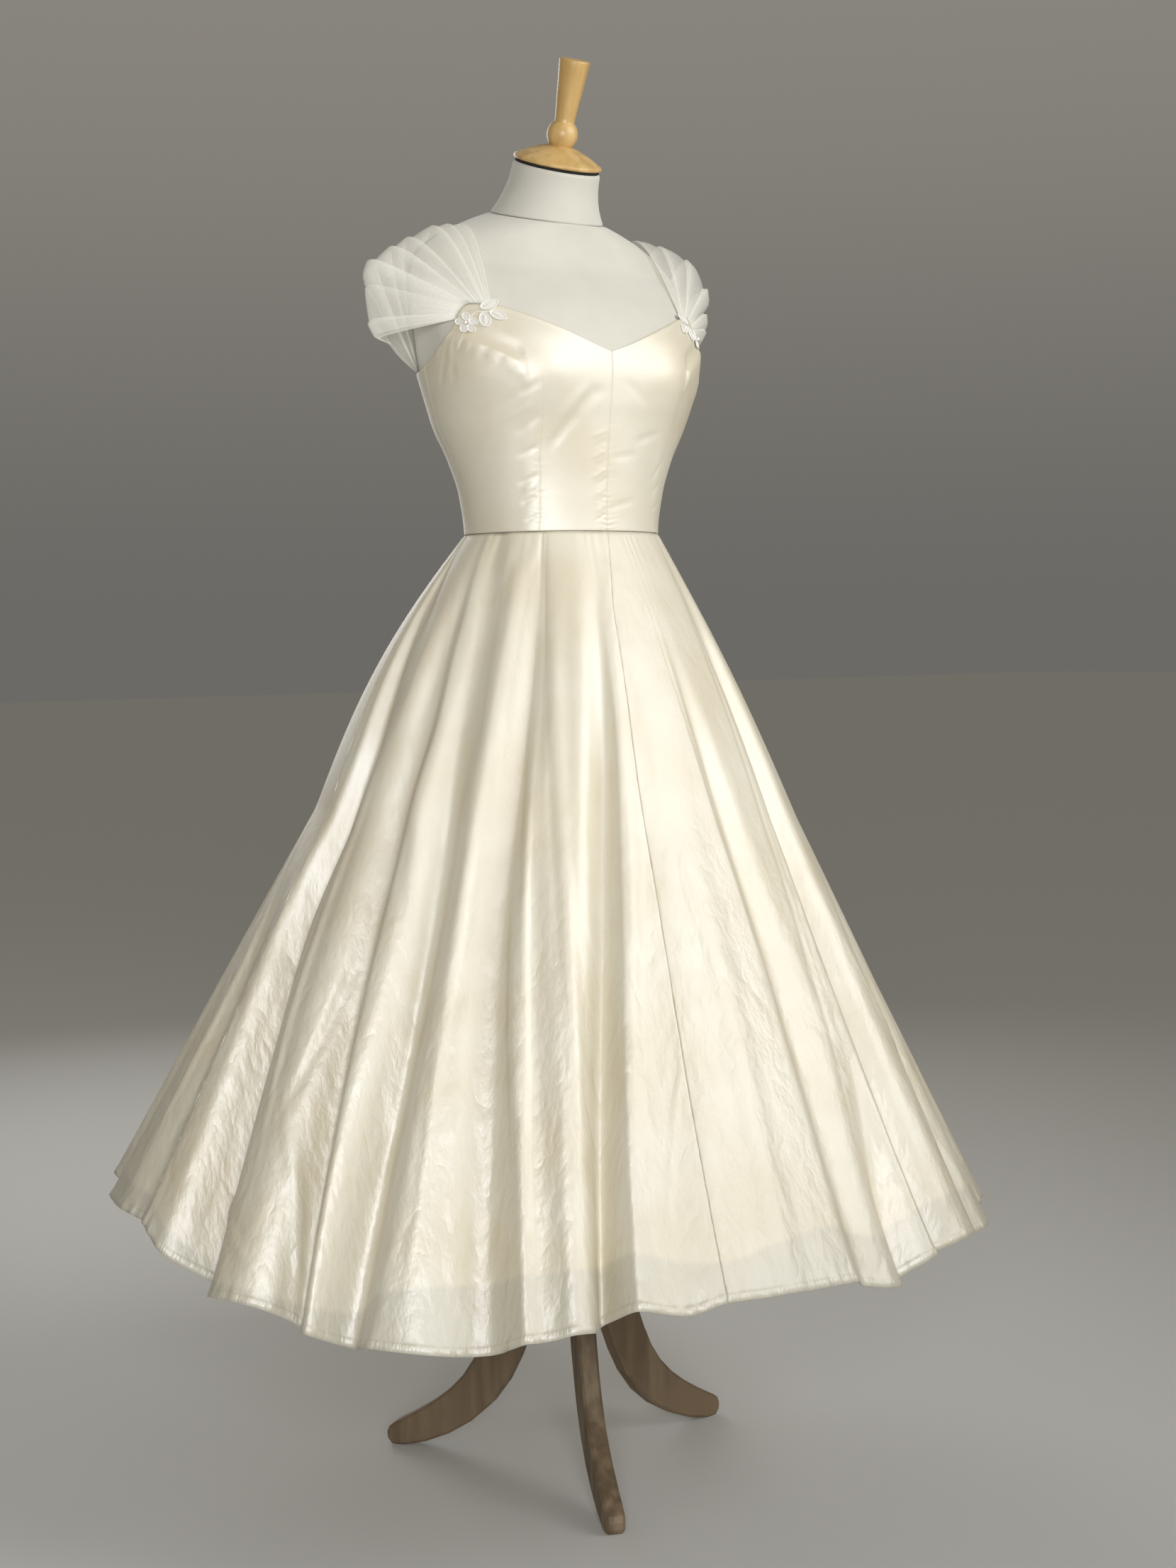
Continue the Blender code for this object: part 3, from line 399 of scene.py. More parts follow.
def arc(centre, radius, start, end, steps):
    """Points of a turned profile round a centre (radius, up), from one angle to another."""
    turn = [math.radians(start + (end - start) * i / steps) for i in range(steps + 1)]
    return [(centre[0] + radius * math.cos(a), centre[1] + radius * math.sin(a)) for a in turn]


def turned(name, profile, steps=96):
    """The profile of radii and heights spun round the Z axis, closed where it meets the axis."""
    bm = bmesh.new()
    points = [bm.verts.new((radius, 0, up)) for radius, up in profile]
    edges = [bm.edges.new(pair) for pair in zip(points, points[1:])]
    whole = {"cent": (0, 0, 0), "axis": (0, 0, 1), "angle": 2 * math.pi, "use_merge": True}
    bmesh.ops.spin(bm, geom=points + edges, steps=steps, **whole)
    bmesh.ops.remove_doubles(bm, verts=bm.verts, dist=1e-6)
    bmesh.ops.recalc_face_normals(bm, faces=bm.faces)
    mesh = mesh_of(bm, name)
    mesh.shade_smooth()
    mesh.set_sharp_from_angle(angle=math.radians(40))
    return mesh


beech, shader = new_finish("varnished beech", BEECH, Roughness=0.44, Coat_Weight=0.30, Coat_Roughness=0.24)
place = object_place(beech)
upright = add_node(beech, "Mapping", Vector=place)
upright.inputs["Rotation"].default_value = (math.radians(-CAP_TILT), 0, 0)
grain = noise(beech, upright.outputs[0], 75, 4, (1.0, 1.0, 0.09))
flecks = noise(beech, upright.outputs[0], 420, 2, (1.0, 1.0, 0.16))
tone = blend_colour(beech, mask(beech, grain, 0.36, 0.66), BEECH_DARK, BEECH_PALE)
cloudy = mask(beech, noise(beech, place, 22), 0.3, 0.7)
tone = blend_colour(beech, times(beech, cloudy, 0.6), tone, BEECH)
tone = blend_colour(beech, times(beech, mask(beech, flecks, 0.60, 0.70), 0.35), tone, BEECH_DARK)
paint(beech, shader, tone)
raise_by(beech, shader, grain, 0.0004, 0.25)

ball_start = math.degrees(math.asin((CAP_PROFILE[-1][1] - BALL_UP) / BALL_RADIUS)) + 2
ball_end = math.degrees(math.acos((HANDLE_BOTTOM_RADIUS + 0.0003) / BALL_RADIUS))
handle_foot = BALL_UP + BALL_RADIUS * math.sin(math.radians(ball_end))
rounding = (HANDLE_TOP_RADIUS - HANDLE_ROUNDING, HANDLE_TOP_UP - HANDLE_ROUNDING)
profile = [
    *CAP_PROFILE,
    *arc((0.0, BALL_UP), BALL_RADIUS, ball_start, ball_end, 18),
    (HANDLE_BOTTOM_RADIUS, handle_foot + 0.0006),
    (HANDLE_BOTTOM_RADIUS + 0.0003, handle_foot + 0.006),
    (HANDLE_TOP_RADIUS - 0.0004, HANDLE_TOP_UP - 0.008),
    *arc(rounding, HANDLE_ROUNDING, 0, 90, 6),
    (0.0, HANDLE_TOP_UP),
]
cap_mesh = turned("cap_and_handle", profile)
leaning = Matrix.Rotation(math.radians(CAP_TILT), 4, "X")
cap_mesh.transform(Matrix.Translation(CAP_CENTRE + STAND_AXIS) @ leaning)
cap = piece("cap_and_handle", cap_mesh, beech)
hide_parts("neck_cap")

# --- stand ---------------------------------------------------------------------------------------------
# Three flat legs sawn to a curve from brown wood and left matt, screwed to a round hub that carries the
# steel pole of the form.

LEG_WOOD = (0.180, 0.125, 0.072)
LEG_WOOD_DARK = (0.118, 0.080, 0.045)
LEG_WOOD_PALE = (0.245, 0.178, 0.108)
leg_wood, shader = new_finish("matt leg wood", LEG_WOOD, Roughness=0.62)
place = object_place(leg_wood)
grain = noise(leg_wood, place, 60, 5, (1.0, 1.0, 0.10))
tone = blend_colour(leg_wood, mask(leg_wood, grain, 0.35, 0.68), LEG_WOOD_DARK, LEG_WOOD_PALE)
tone = blend_colour(leg_wood, mask(leg_wood, noise(leg_wood, place, 7), 0.35, 0.65), tone, LEG_WOOD)
paint(leg_wood, shader, tone)
raise_by(leg_wood, shader, sums(leg_wood, "ADD", grain, noise(leg_wood, place, 500)), 0.0005, 0.4)
steel, shader = new_finish("drawn steel", (0.42, 0.42, 0.43), Metallic=1.0, Roughness=0.35)
textured(steel, shader, 400, 0.0003, 0.4, 2, (1.0, 1.0, 0.03))
refinish("stand_pole", steel)
for name in ("stand_leg_1", "stand_leg_2", "stand_leg_3", "stand_hub"):
    refinish(name, leg_wood)

# --- bodice --------------------------------------------------------------------------------------------
# Four panels of ivory satin over a lining, seamed at the centre front and the sides. Each front has a dart
# from the armhole and one up from the waist, sewn by hand, so the cloth puckers along them.

EASE = 0.0014  # between the figure and the inside of the bodice
WALL = 0.0015
LINED_THICKNESS = 0.0013  # satin and lining together, as shown
BODICE_GRID = (108, 124)
WAIST_HEIGHT = 1.0942
SEAM_HALF_GAP = 0.00015

# Top edge of the bodice: angle round from the centre front, and height.
TOP_NAMES = ("from_front", "height")
TOP_EDGE = (
    (0, 1.2920), (16.5, 1.3150), (27, 1.3265), (43, 1.3395), (55, 1.3410), (60, 1.3330), (68, 1.3122),
    (80, 1.2925), (92, 1.2790), (100, 1.2745), (112, 1.2740), (125, 1.2760), (150, 1.2800), (180, 1.2780),
)
SIDE_SEAM_SWING = 13.0  # how far the side seams run back round the form from the armhole to the waist

# The darts up from the waist on each front, and in each back, from the top down: height and angle.
DART_NAMES = ("height", "angle")
DARTS = {
    "bodice_front_right": (
        (1.0942, -130.5), (1.1630, -126.0), (1.2080, -121.5), (1.2590, -119.0), (1.345, -117.0),
    ),
    "bodice_front_left": ((1.0942, -40.5), (1.1765, -48.5), (1.1960, -50.5), (1.2600, -56.0), (1.345, -60.0)),
    "bodice_back_left": ((1.0942, 47.0), (1.1800, 50.0), (1.2300, 52.0), (1.345, 53.0)),
    "bodice_back_right": ((1.0942, 133.0), (1.1800, 130.0), (1.2300, 128.0), (1.345, 127.0)),
}
DART_TOPS = {
    "bodice_front_right": 1.2600, "bodice_front_left": 1.2620, "bodice_back_left": 1.2250,
    "bodice_back_right": 1.2250,
}
# The armhole dart of the right front, from the appliqué to the bust. The left one is its mirror.
ARM_DART = ((-154.0, 1.3070), (-147.0, 1.3010), (-139.0, 1.2935), (-132.5, 1.2860), (-125.5, 1.2755))

# Soft folds of the bodice: two ends by angle and height, half width and rise in metres. Below zero sinks.
FOLD_LINE_NAMES = ("angle_1", "height_1", "angle_2", "height_2", "half_width", "rise")
BODICE_FOLDS = (
    (-94.0, 1.252, -103.0, 1.226, 0.0100, -0.0011),
    (-103.0, 1.226, -119.0, 1.186, 0.0085, -0.0013),
    (-99.0, 1.252, -113.0, 1.216, 0.0080, 0.0009),
    (-119.0, 1.255, -131.0, 1.241, 0.0065, -0.0009),
    (-131.0, 1.241, -142.0, 1.227, 0.0070, -0.0008),
    (-121.5, 1.221, -134.0, 1.199, 0.0065, -0.0009),
    (-124.0, 1.232, -137.0, 1.214, 0.0060, 0.0007),
    (-90.6, 1.205, -99.0, 1.197, 0.0036, 0.0004),
    (-90.6, 1.195, -97.0, 1.187, 0.0030, -0.0003),
    (-90.6, 1.184, -99.0, 1.174, 0.0034, 0.0004),
    (-90.6, 1.173, -96.5, 1.166, 0.0030, -0.0003),
    (-90.6, 1.163, -99.5, 1.152, 0.0034, 0.0005),
    (-90.6, 1.153, -96.5, 1.145, 0.0030, -0.0004),
    (-90.6, 1.143, -98.0, 1.133, 0.0032, 0.0003),
    (-90.6, 1.133, -96.0, 1.126, 0.0030, -0.0003),
    (-90.6, 1.124, -97.0, 1.115, 0.0032, 0.0003),
    (-90.6, 1.114, -97.5, 1.105, 0.0030, -0.0005),
    (-88.0, 1.175, -74.0, 1.180, 0.0070, -0.0005),
    (-88.0, 1.120, -70.0, 1.130, 0.0065, -0.0004),
    (-76.0, 1.194, -62.0, 1.205, 0.0080, -0.0008),
    (-86.0, 1.260, -73.0, 1.232, 0.0070, -0.0006),
    (-124.5, 1.188, -135.5, 1.176, 0.0050, -0.0009),
    (-127.5, 1.156, -139.0, 1.146, 0.0050, -0.0009),
    (-129.0, 1.146, -137.0, 1.138, 0.0045, 0.0007),
    (-129.5, 1.133, -139.5, 1.124, 0.0050, -0.0009),
    (-130.0, 1.112, -138.0, 1.105, 0.0040, -0.0006),
    (-156.0, 1.304, -159.5, 1.280, 0.0040, -0.0012),
    (-159.5, 1.280, -161.5, 1.256, 0.0045, -0.0010),
    (-160.0, 1.302, -165.0, 1.281, 0.0040, -0.0011),
    (-165.0, 1.281, -171.0, 1.255, 0.0045, -0.0009),
    (-157.5, 1.300, -162.0, 1.272, 0.0036, 0.0010),
    (-151.0, 1.303, -154.5, 1.290, 0.0035, -0.0010),
    (-148.0, 1.301, -151.0, 1.288, 0.0030, 0.0008),
    (-139.5, 1.292, -144.0, 1.278, 0.0040, -0.0010),
    (-143.5, 1.296, -147.0, 1.284, 0.0035, 0.0008),
    (-133.0, 1.285, -137.0, 1.270, 0.0040, -0.0008),
    (-125.5, 1.2740, -127.5, 1.2640, 0.0035, -0.0010),
    (-50.5, 1.176, -57.0, 1.155, 0.0050, -0.0007),
    (-47.5, 1.150, -56.0, 1.138, 0.0045, -0.0007),
    (-44.0, 1.128, -53.0, 1.120, 0.0045, -0.0007),
    (-24.0, 1.300, -20.0, 1.270, 0.0045, -0.0011),
    (-20.0, 1.300, -14.0, 1.262, 0.0045, 0.0009),
    (-30.0, 1.297, -27.0, 1.285, 0.0035, -0.0009),
    (-56.0, 1.250, -42.0, 1.230, 0.0065, -0.0008),
    (-54.0, 1.218, -40.0, 1.200, 0.0065, -0.0008),
    (47.0, 1.130, 58.0, 1.120, 0.0060, -0.0008),
    (48.0, 1.165, 62.0, 1.150, 0.0065, -0.0009),
    (82.0, 1.165, 66.0, 1.152, 0.0060, -0.0009),
    (82.0, 1.205, 62.0, 1.195, 0.0080, -0.0009),
    (84.0, 1.120, 72.0, 1.112, 0.0050, -0.0008),
    (97.0, 1.185, 116.0, 1.170, 0.0070, -0.0009),
    (97.0, 1.225, 120.0, 1.215, 0.0080, -0.0008),
    (97.0, 1.140, 110.0, 1.128, 0.0055, -0.0008),
    (133.0, 1.150, 120.0, 1.138, 0.0060, -0.0009),
    (132.0, 1.180, 147.0, 1.165, 0.0065, -0.0009),
    (160.0, 1.270, 155.0, 1.235, 0.0070, -0.0009),
    (20.0, 1.270, 25.0, 1.235, 0.0070, -0.0009),
)
# Puckers that the stitches of a seam draw up: their spacing, how far they reach, and how deep they are.
PUCKER_SPACING = 0.0058
PUCKER_REACH = 0.0060
PUCKER_DEPTH = 0.00032
SEAM_DIP = 0.0003
SEAM_HALF_WIDTH = 0.0010

IVORY = (0.700, 0.655, 0.520)
IVORY_DEEP = (0.650, 0.580, 0.420)
IVORY_PALE = (0.745, 0.715, 0.605)
# painted shade: the darker line along stitched seams, darts and the hem's topstitching stands in for the
# shade in their grooves
STITCH_GROOVE_SHADE = (0.40, 0.31, 0.16)
LINING_COLOUR = (0.720, 0.680, 0.560)


def bodice_folds(angle, height, degree):
    """The rise of the bodice by its straight soft folds. A degree's length turns angles into metres."""
    rise = np.zeros_like(angle)
    for row in BODICE_FOLDS:
        fold = dict(zip(FOLD_LINE_NAMES, row))
        away = (angle - fold["angle_1"]) ** 2 * 1e-4 + (height - fold["height_1"]) ** 2
        scale = degree[np.unravel_index(np.argmin(away), angle.shape)]
        run_across = (fold["angle_2"] - fold["angle_1"]) * scale
        run_up = fold["height_2"] - fold["height_1"]
        long = np.hypot(run_across, run_up)
        across = (angle - fold["angle_1"]) * scale
        up = height - fold["height_1"]
        along = (across * run_across + up * run_up) / long**2
        beside = (up * run_across - across * run_up) / long
        rise += fold["rise"] * bump(beside / fold["half_width"]) * faded_ends(along)
    return rise


def ragged(t, seed):
    """A wave along a seam whose spacing and height wander, about -1 to 1."""
    turn = 2 * np.pi * t
    wander = np.sin(turn * 0.37 + seed) * 0.9 + np.sin(turn * 0.13 + 2.1 * seed) * 1.4
    return np.sin(turn + wander) * (0.62 + 0.38 * np.sin(turn * 0.21 + 1.7 * seed))


def satin_finish(name, hem=None):
    """Ivory satin with a silk's slub: soft gloss, faint weft streaks and a fine crinkle. hem is the attribute
    that holds the distance above the hem, where the cloth hangs clear of its lining and looks greyer."""
    made, shader = new_finish(name, IVORY, Roughness=0.48, IOR=2.2)
    shader.inputs["Specular IOR Level"].default_value = 0.72
    cloth = cut_place(made)
    place = object_place(made)
    tone = blend_colour(made, mask(made, noise(made, place, 9), 0.35, 0.68), IVORY, IVORY_DEEP)
    streak = noise(made, cloth, 60, 3, (1.0, 26.0, 1.0))
    tone = blend_colour(made, times(made, mask(made, streak, 0.50, 0.75), 0.4), tone, IVORY_PALE)
    # Painted shade: a thin darker line along seams and darts, where their grooves fall in shade.
    seam = sums(made, "ABSOLUTE", kept_value(made, "seam"))
    line = one_minus(made, mask(made, seam, 0.00005, 0.00045))
    tone = blend_colour(made, times(made, line, 0.20), tone, STITCH_GROOVE_SHADE)
    if hem:
        above = kept_value(made, hem)
        edge = kept_value(made, "lining_edge")
        below = mask(made, sums(made, "SUBTRACT", edge, above), -0.0030, 0.0050)
        tone = blend_colour(made, times(made, below, 0.42), tone, HEM_GREY)
        # Painted shade along the hem's stitching line as well.
        from_stitch = sums(made, "ABSOLUTE", sums(made, "SUBTRACT", above, TURNING))
        stitch = one_minus(made, mask(made, from_stitch, 0.0003, 0.0008))
        tone = blend_colour(made, times(made, stitch, 0.22), tone, STITCH_GROOVE_SHADE)
    paint(made, shader, tone)
    weave = noise(made, cloth, 1300, 2, (1.0, 2.6, 1.0))
    slub = noise(made, cloth, 90, 3, (1.0, 16.0, 1.0))
    relief = raise_by(made, shader, sums(made, "ADD", weave, times(made, slub, 1.2)), 0.00012, 0.5)
    crinkle = sums(made, "ABSOLUTE", sums(made, "SUBTRACT", noise(made, place, 30, 4, (1.0, 1.0, 0.40)), 0.5))
    if hem:
        crushed = one_minus(made, mask(made, above, 0.25, 0.60))
        crinkle = times(made, crinkle, sums(made, "MULTIPLY_ADD", crushed, 0.75, 0.25))
    relief = raise_by(made, shader, crinkle, 0.0115 if hem else 0.0010, 0.45, under=relief)
    if hem:
        ribs = noise(made, cloth, 300, 2, (1.0, 0.05, 1.0))
        band = one_minus(made, mask(made, above, TURNING * 0.8, TURNING * 1.3))
        raise_by(made, shader, times(made, ribs, band), 0.0012, 0.8, under=relief)
    return made


HEM_GREY = (0.450, 0.435, 0.360)
TURNING = 0.0085  # the narrow turned hem
satin = satin_finish("ivory satin")
lining, shader = new_finish("ivory lining", LINING_COLOUR, Roughness=0.55, Sheen_Weight=0.1)
place = object_place(lining)
paint(lining, shader, blend_colour(lining, noise(lining, place, 24), LINING_COLOUR, IVORY_DEEP))
raise_by(lining, shader, noise(lining, place, 1100, 2), 0.0003, 0.4)


def top_height(angle):
    table = columns(TOP_EDGE, TOP_NAMES)
    return smooth(np.abs((np.asarray(angle) + 270) % 360 - 180), table["from_front"], table["height"])


def below_arm_dart(angle, height, side):
    """Distance below the armhole dart's line in metres, and how fully the dart is sewn there."""
    table = columns(ARM_DART, ("angle", "height"))
    mirrored = angle if side < 0 else -180 - angle
    line = smooth(mirrored, table["angle"], table["height"])
    begun = ease_in((mirrored - table["angle"][0] + 12) / 6)
    ended = ease_in((mirrored - table["angle"][-1] + 1) / 3)
    return line - height, begun * (1 - ended)


def side_swing(angle):
    """How far a side seam at this angle runs back at the waist. The front and back seams run straight."""
    across = np.cos(np.radians(angle))
    return SIDE_SEAM_SWING * np.sign(across) * across**2


def bodice_form(name, start, end):
    dart = columns(DARTS[name], DART_NAMES)
    side = -1 if start < -90 or start > 89 else 1
    front = start < 0

    def form(u, v):
        v = crowded(v, 0.55)
        first = start + side_swing(start) * v
        last = end + side_swing(end) * v
        height = top_height(start + (end - start) * u) * (1 - v) + (WAIST_HEIGHT + SEAM_HALF_GAP) * v
        middle = smooth(height, dart["height"], dart["angle"])
        left = first + (middle - first) * crowded(2 * u, 0.78)
        right = middle + (last - middle) * crowded(2 * u - 1, 0.78)
        angle = np.where(u < 0.5, left, right)
        height = top_height(angle) * (1 - v) + (WAIST_HEIGHT + SEAM_HALF_GAP) * v
        points = figure(angle, height, EASE + WALL)
        radius = np.hypot(points[..., 0] - STAND_AXIS[0], points[..., 1] - STAND_AXIS[1])
        degree = radius * np.pi / 180
        from_dart = (angle - middle) * degree
        from_first, from_last = (angle - first) * degree, (last - angle) * degree
        sewn = 1 - ease_in((height - DART_TOPS[name] + 0.012) / 0.016)
        tight = 1 - ease_in((height - 1.175) / 0.07)
        rise = bodice_folds(angle, height, degree)
        stitched = ((from_dart, sewn, 1.3), (from_first, 1.0, 0.4), (from_last, 1.0, 2.2))
        for distance, sewn_here, seed in stitched:
            dip = np.exp(-((distance / SEAM_HALF_WIDTH) ** 2))
            reach = np.exp(-np.abs(distance) / PUCKER_REACH) - 0.35 * dip
            wave = ragged((height - 0.25 * np.abs(distance)) / PUCKER_SPACING, seed + side)
            rise -= sewn_here * (SEAM_DIP * dip - PUCKER_DEPTH * (0.25 + 0.75 * tight) * wave * reach)
        rise += 0.0009 * sewn * bump(from_dart / 0.020 + 0.5) * np.where(from_dart < 0, 1, 0.6)
        seam = np.minimum(np.minimum(from_first, from_last), np.where(sewn > 0.4, np.abs(from_dart), 1))
        if front:
            under, dart_sewn = below_arm_dart(angle, height, side)
            lift = np.where(under > 0, bump(under / 0.030), bump(under / 0.004))
            rise += dart_sewn * (0.0024 * lift - 0.0009 * bump(under / 0.0020))
            rise -= dart_sewn * 0.0018 * bump((under + 0.012) / 0.013)
            seam = np.where((dart_sewn > 0.5) & (np.abs(under) < np.abs(seam)), under, seam)
        edge = (top_height(angle) - height) / 0.0022
        rise += 0.0004 * np.exp(-((edge - 1) ** 2))
        rise -= 0.0003 * np.exp(-(((height - WAIST_HEIGHT) / 0.0010) ** 2))
        return points, rise, {"seam": seam}

    return form


def lined(panel):
    """The wall of a panel: satin outside and round its edges, lining inside."""
    panel.data.materials.append(lining)
    wall = panel.modifiers.new("lined wall", "SOLIDIFY")
    wall.thickness = LINED_THICKNESS
    wall.offset = -1
    wall.material_offset = 1
    wall.material_offset_rim = 0


# Each panel's two seams by their angles, and its flat cut: width and length, and the share of that rectangle
# which the cut fills.
BODICE_CUTS = {
    "bodice_front_right": (-180, -90, (0.235, 0.250), 0.74),
    "bodice_front_left": (-90, 0, (0.235, 0.250), 0.74),
    "bodice_back_left": (0, 90, (0.190, 0.190), 0.80),
    "bodice_back_right": (90, 180, (0.190, 0.190), 0.80),
}
for name, (start, end, cut, filled) in BODICE_CUTS.items():
    panel = piece(f"{name}_satin", laid(name, BODICE_GRID, cut, bodice_form(name, start, end)), satin)
    lined(panel)
    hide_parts(name)

# --- skirt ---------------------------------------------------------------------------------------------
# Four panels of the same satin, cut nearly as a circle and gathered a little into the waist, so that they
# fall in deep rounded folds. The hem is turned narrow and topstitched; the lining ends a hand above it.

WAIST_HALF_WIDTH = 0.1176
WAIST_HALF_DEPTH = 0.0960
WAIST_BACK_SHIFT = -0.0120
HEM_SHIFT = (-0.0123, 0.0076)
SKIRT_GRID = (280, 106)
ZIP_HALF_WIDTH = 0.0020
ZIP_END = 0.17  # how far down the skirt the zip runs, as a share of its length

# The skirt by the angle at its hem: length down the slope, radius at the crests of its folds, and how much
# fuller than a plain cone it hangs over the hip, as a share of the radius.
SKIRT_NAMES = ("angle", "length", "radius", "fullness")
SKIRT = (
    (-180, 0.833, 0.516, 0.034),
    (-173, 0.861, 0.516, 0.034),
    (-166, 0.877, 0.518, 0.032),
    (-159, 0.875, 0.519, 0.028),
    (-150, 0.892, 0.520, 0.024),
    (-138, 0.898, 0.520, 0.016),
    (-128, 0.890, 0.520, 0.012),
    (-119, 0.877, 0.520, 0.010),
    (-114, 0.862, 0.520, 0.010),
    (-108, 0.869, 0.518, 0.010),
    (-103, 0.861, 0.516, 0.010),
    (-90, 0.860, 0.511, 0.010),
    (-84, 0.862, 0.510, 0.010),
    (-77, 0.876, 0.509, 0.010),
    (-70, 0.858, 0.507, 0.010),
    (-60, 0.858, 0.505, 0.012),
    (-48, 0.868, 0.503, 0.013),
    (-24, 0.864, 0.501, 0.014),
    (30, 0.856, 0.504, 0.015),
    (90, 0.862, 0.512, 0.016),
    (150, 0.846, 0.516, 0.030),
    (180, 0.833, 0.516, 0.034),
)
# How far each line of the cloth, named by its angle at the hem, lies round from there at the waist.
SWING_NAMES = ("angle", "swing")
HEM_SWING = (
    (-180, -13), (-170, -17), (-155, -10), (-144, -2), (-133, 1), (-124, -1), (-115, 10), (-102, 12),
    (-80, 9), (-73, 15), (-64, 21), (-50, 18), (-24, 14), (0, 13), (40, 6), (90, 0), (130, -7), (180, -13),
)
SWING_POWER = 1.4

# Where the seam between the two fronts wanders to, in degrees at the hem, down the skirt.
FRONT_SEAM = -102
SEAM_DRIFT = (
    (0, 0.0), (0.06, -4.0), (0.13, -6.3), (0.30, -6.5), (0.50, -5.0), (0.70, -3.5), (0.95, -1.6), (1, -1.3),
)

# The skirt's folds: half width, depth, lap, start and path. Half width and lap are degrees at the hem, and
# depth is metres. Lap pulls the two sides of a fold over each other: above zero the cloth on its left, seen
# from outside, lies on top, and below zero the cloth on its right. Start is how far down the fold begins. Its
# path gives its floor, by the share of the way down and the angle at the hem.
FOLDS = (
    (5.0, 0.014, 0.0, 0.45, ((0, -186), (1, -184))),
    (
        5.8, 0.050, -0.1, -0.05,
        ((0.10, -170), (0.30, -168.2), (0.42, -171.5), (0.55, -173.5), (0.70, -172), (1, -169.5)),
    ),
    (
        5.2, 0.049, 0.9, -0.05,
        ((0.10, -157.2), (0.25, -156.4), (0.42, -158), (0.60, -158), (0.80, -157.4), (1, -156.2)),
    ),
    (
        5.4, 0.047, 0.0, -0.15,
        ((0.05, -149), (0.15, -147), (0.35, -146.5), (0.50, -146), (0.80, -147), (1, -147.5)),
    ),
    (
        7.6, 0.036, 0.01, -0.10,
        ((0.05, -131.5), (0.20, -132), (0.35, -134), (0.50, -135.5), (0.80, -134), (1, -132.5)),
    ),
    (4.0, 0.008, 0.0, 0.30, ((0.15, -126), (0.40, -126), (0.60, -125.2), (0.85, -123.8), (1, -122.8))),
    (3.7, 0.044, 1.0, 0.08, ((0.15, -115.6), (0.30, -116), (0.50, -117), (0.75, -117.6), (1, -117.2))),
    (5.5, 0.021, -0.01, 0.10, ((0.25, -84.5), (0.45, -82.5), (0.60, -81.5), (1, -80.5))),
    (4.2, 0.030, 1.2, 0.68, ((0.50, -74), (0.65, -75), (0.80, -75.5), (1, -75.5))),
    (5.6, 0.048, -0.6, -0.05, ((0.15, -64.8), (0.40, -65.8), (0.60, -66.3), (0.80, -65.8), (1, -64.8))),
    (4.0, 0.012, 0.0, 0.45, ((0, -52), (1, -54))),
    (6.5, 0.045, -1.0, 0.05, ((0, -38), (1, -40))),
    (5.0, 0.024, 0.0, 0.12, ((0, -24), (1, -24))),
    (7.0, 0.046, 1.4, 0.05, ((0, -11), (0.5, -8), (1, -10))),
    (5.0, 0.020, 0.0, 0.15, ((0, 8), (1, 8))),
    (6.5, 0.042, 1.2, 0.04, ((0, 20), (0.4, 24), (1, 22))),
    (6.0, 0.030, 0.0, 0.10, ((0, 39), (1, 40))),
    (6.0, 0.042, -1.4, 0.05, ((0, 55), (0.6, 52), (1, 54))),
    (4.5, 0.014, 0.0, 0.30, ((0, 68), (1, 68))),
    (5.0, 0.030, 0.0, 0.24, ((0, 80), (1, 80))),
    (5.5, 0.032, 0.0, 0.24, ((0, 101), (1, 101))),
    (5.0, 0.016, 0.0, 0.15, ((0, 114), (1, 115))),
    (6.5, 0.046, 1.5, 0.05, ((0, 129), (0.5, 125), (1, 127))),
    (5.5, 0.024, 0.0, 0.10, ((0, 142), (1, 142))),
    (6.5, 0.042, -1.4, 0.05, ((0, 155), (0.6, 159), (1, 157))),
)
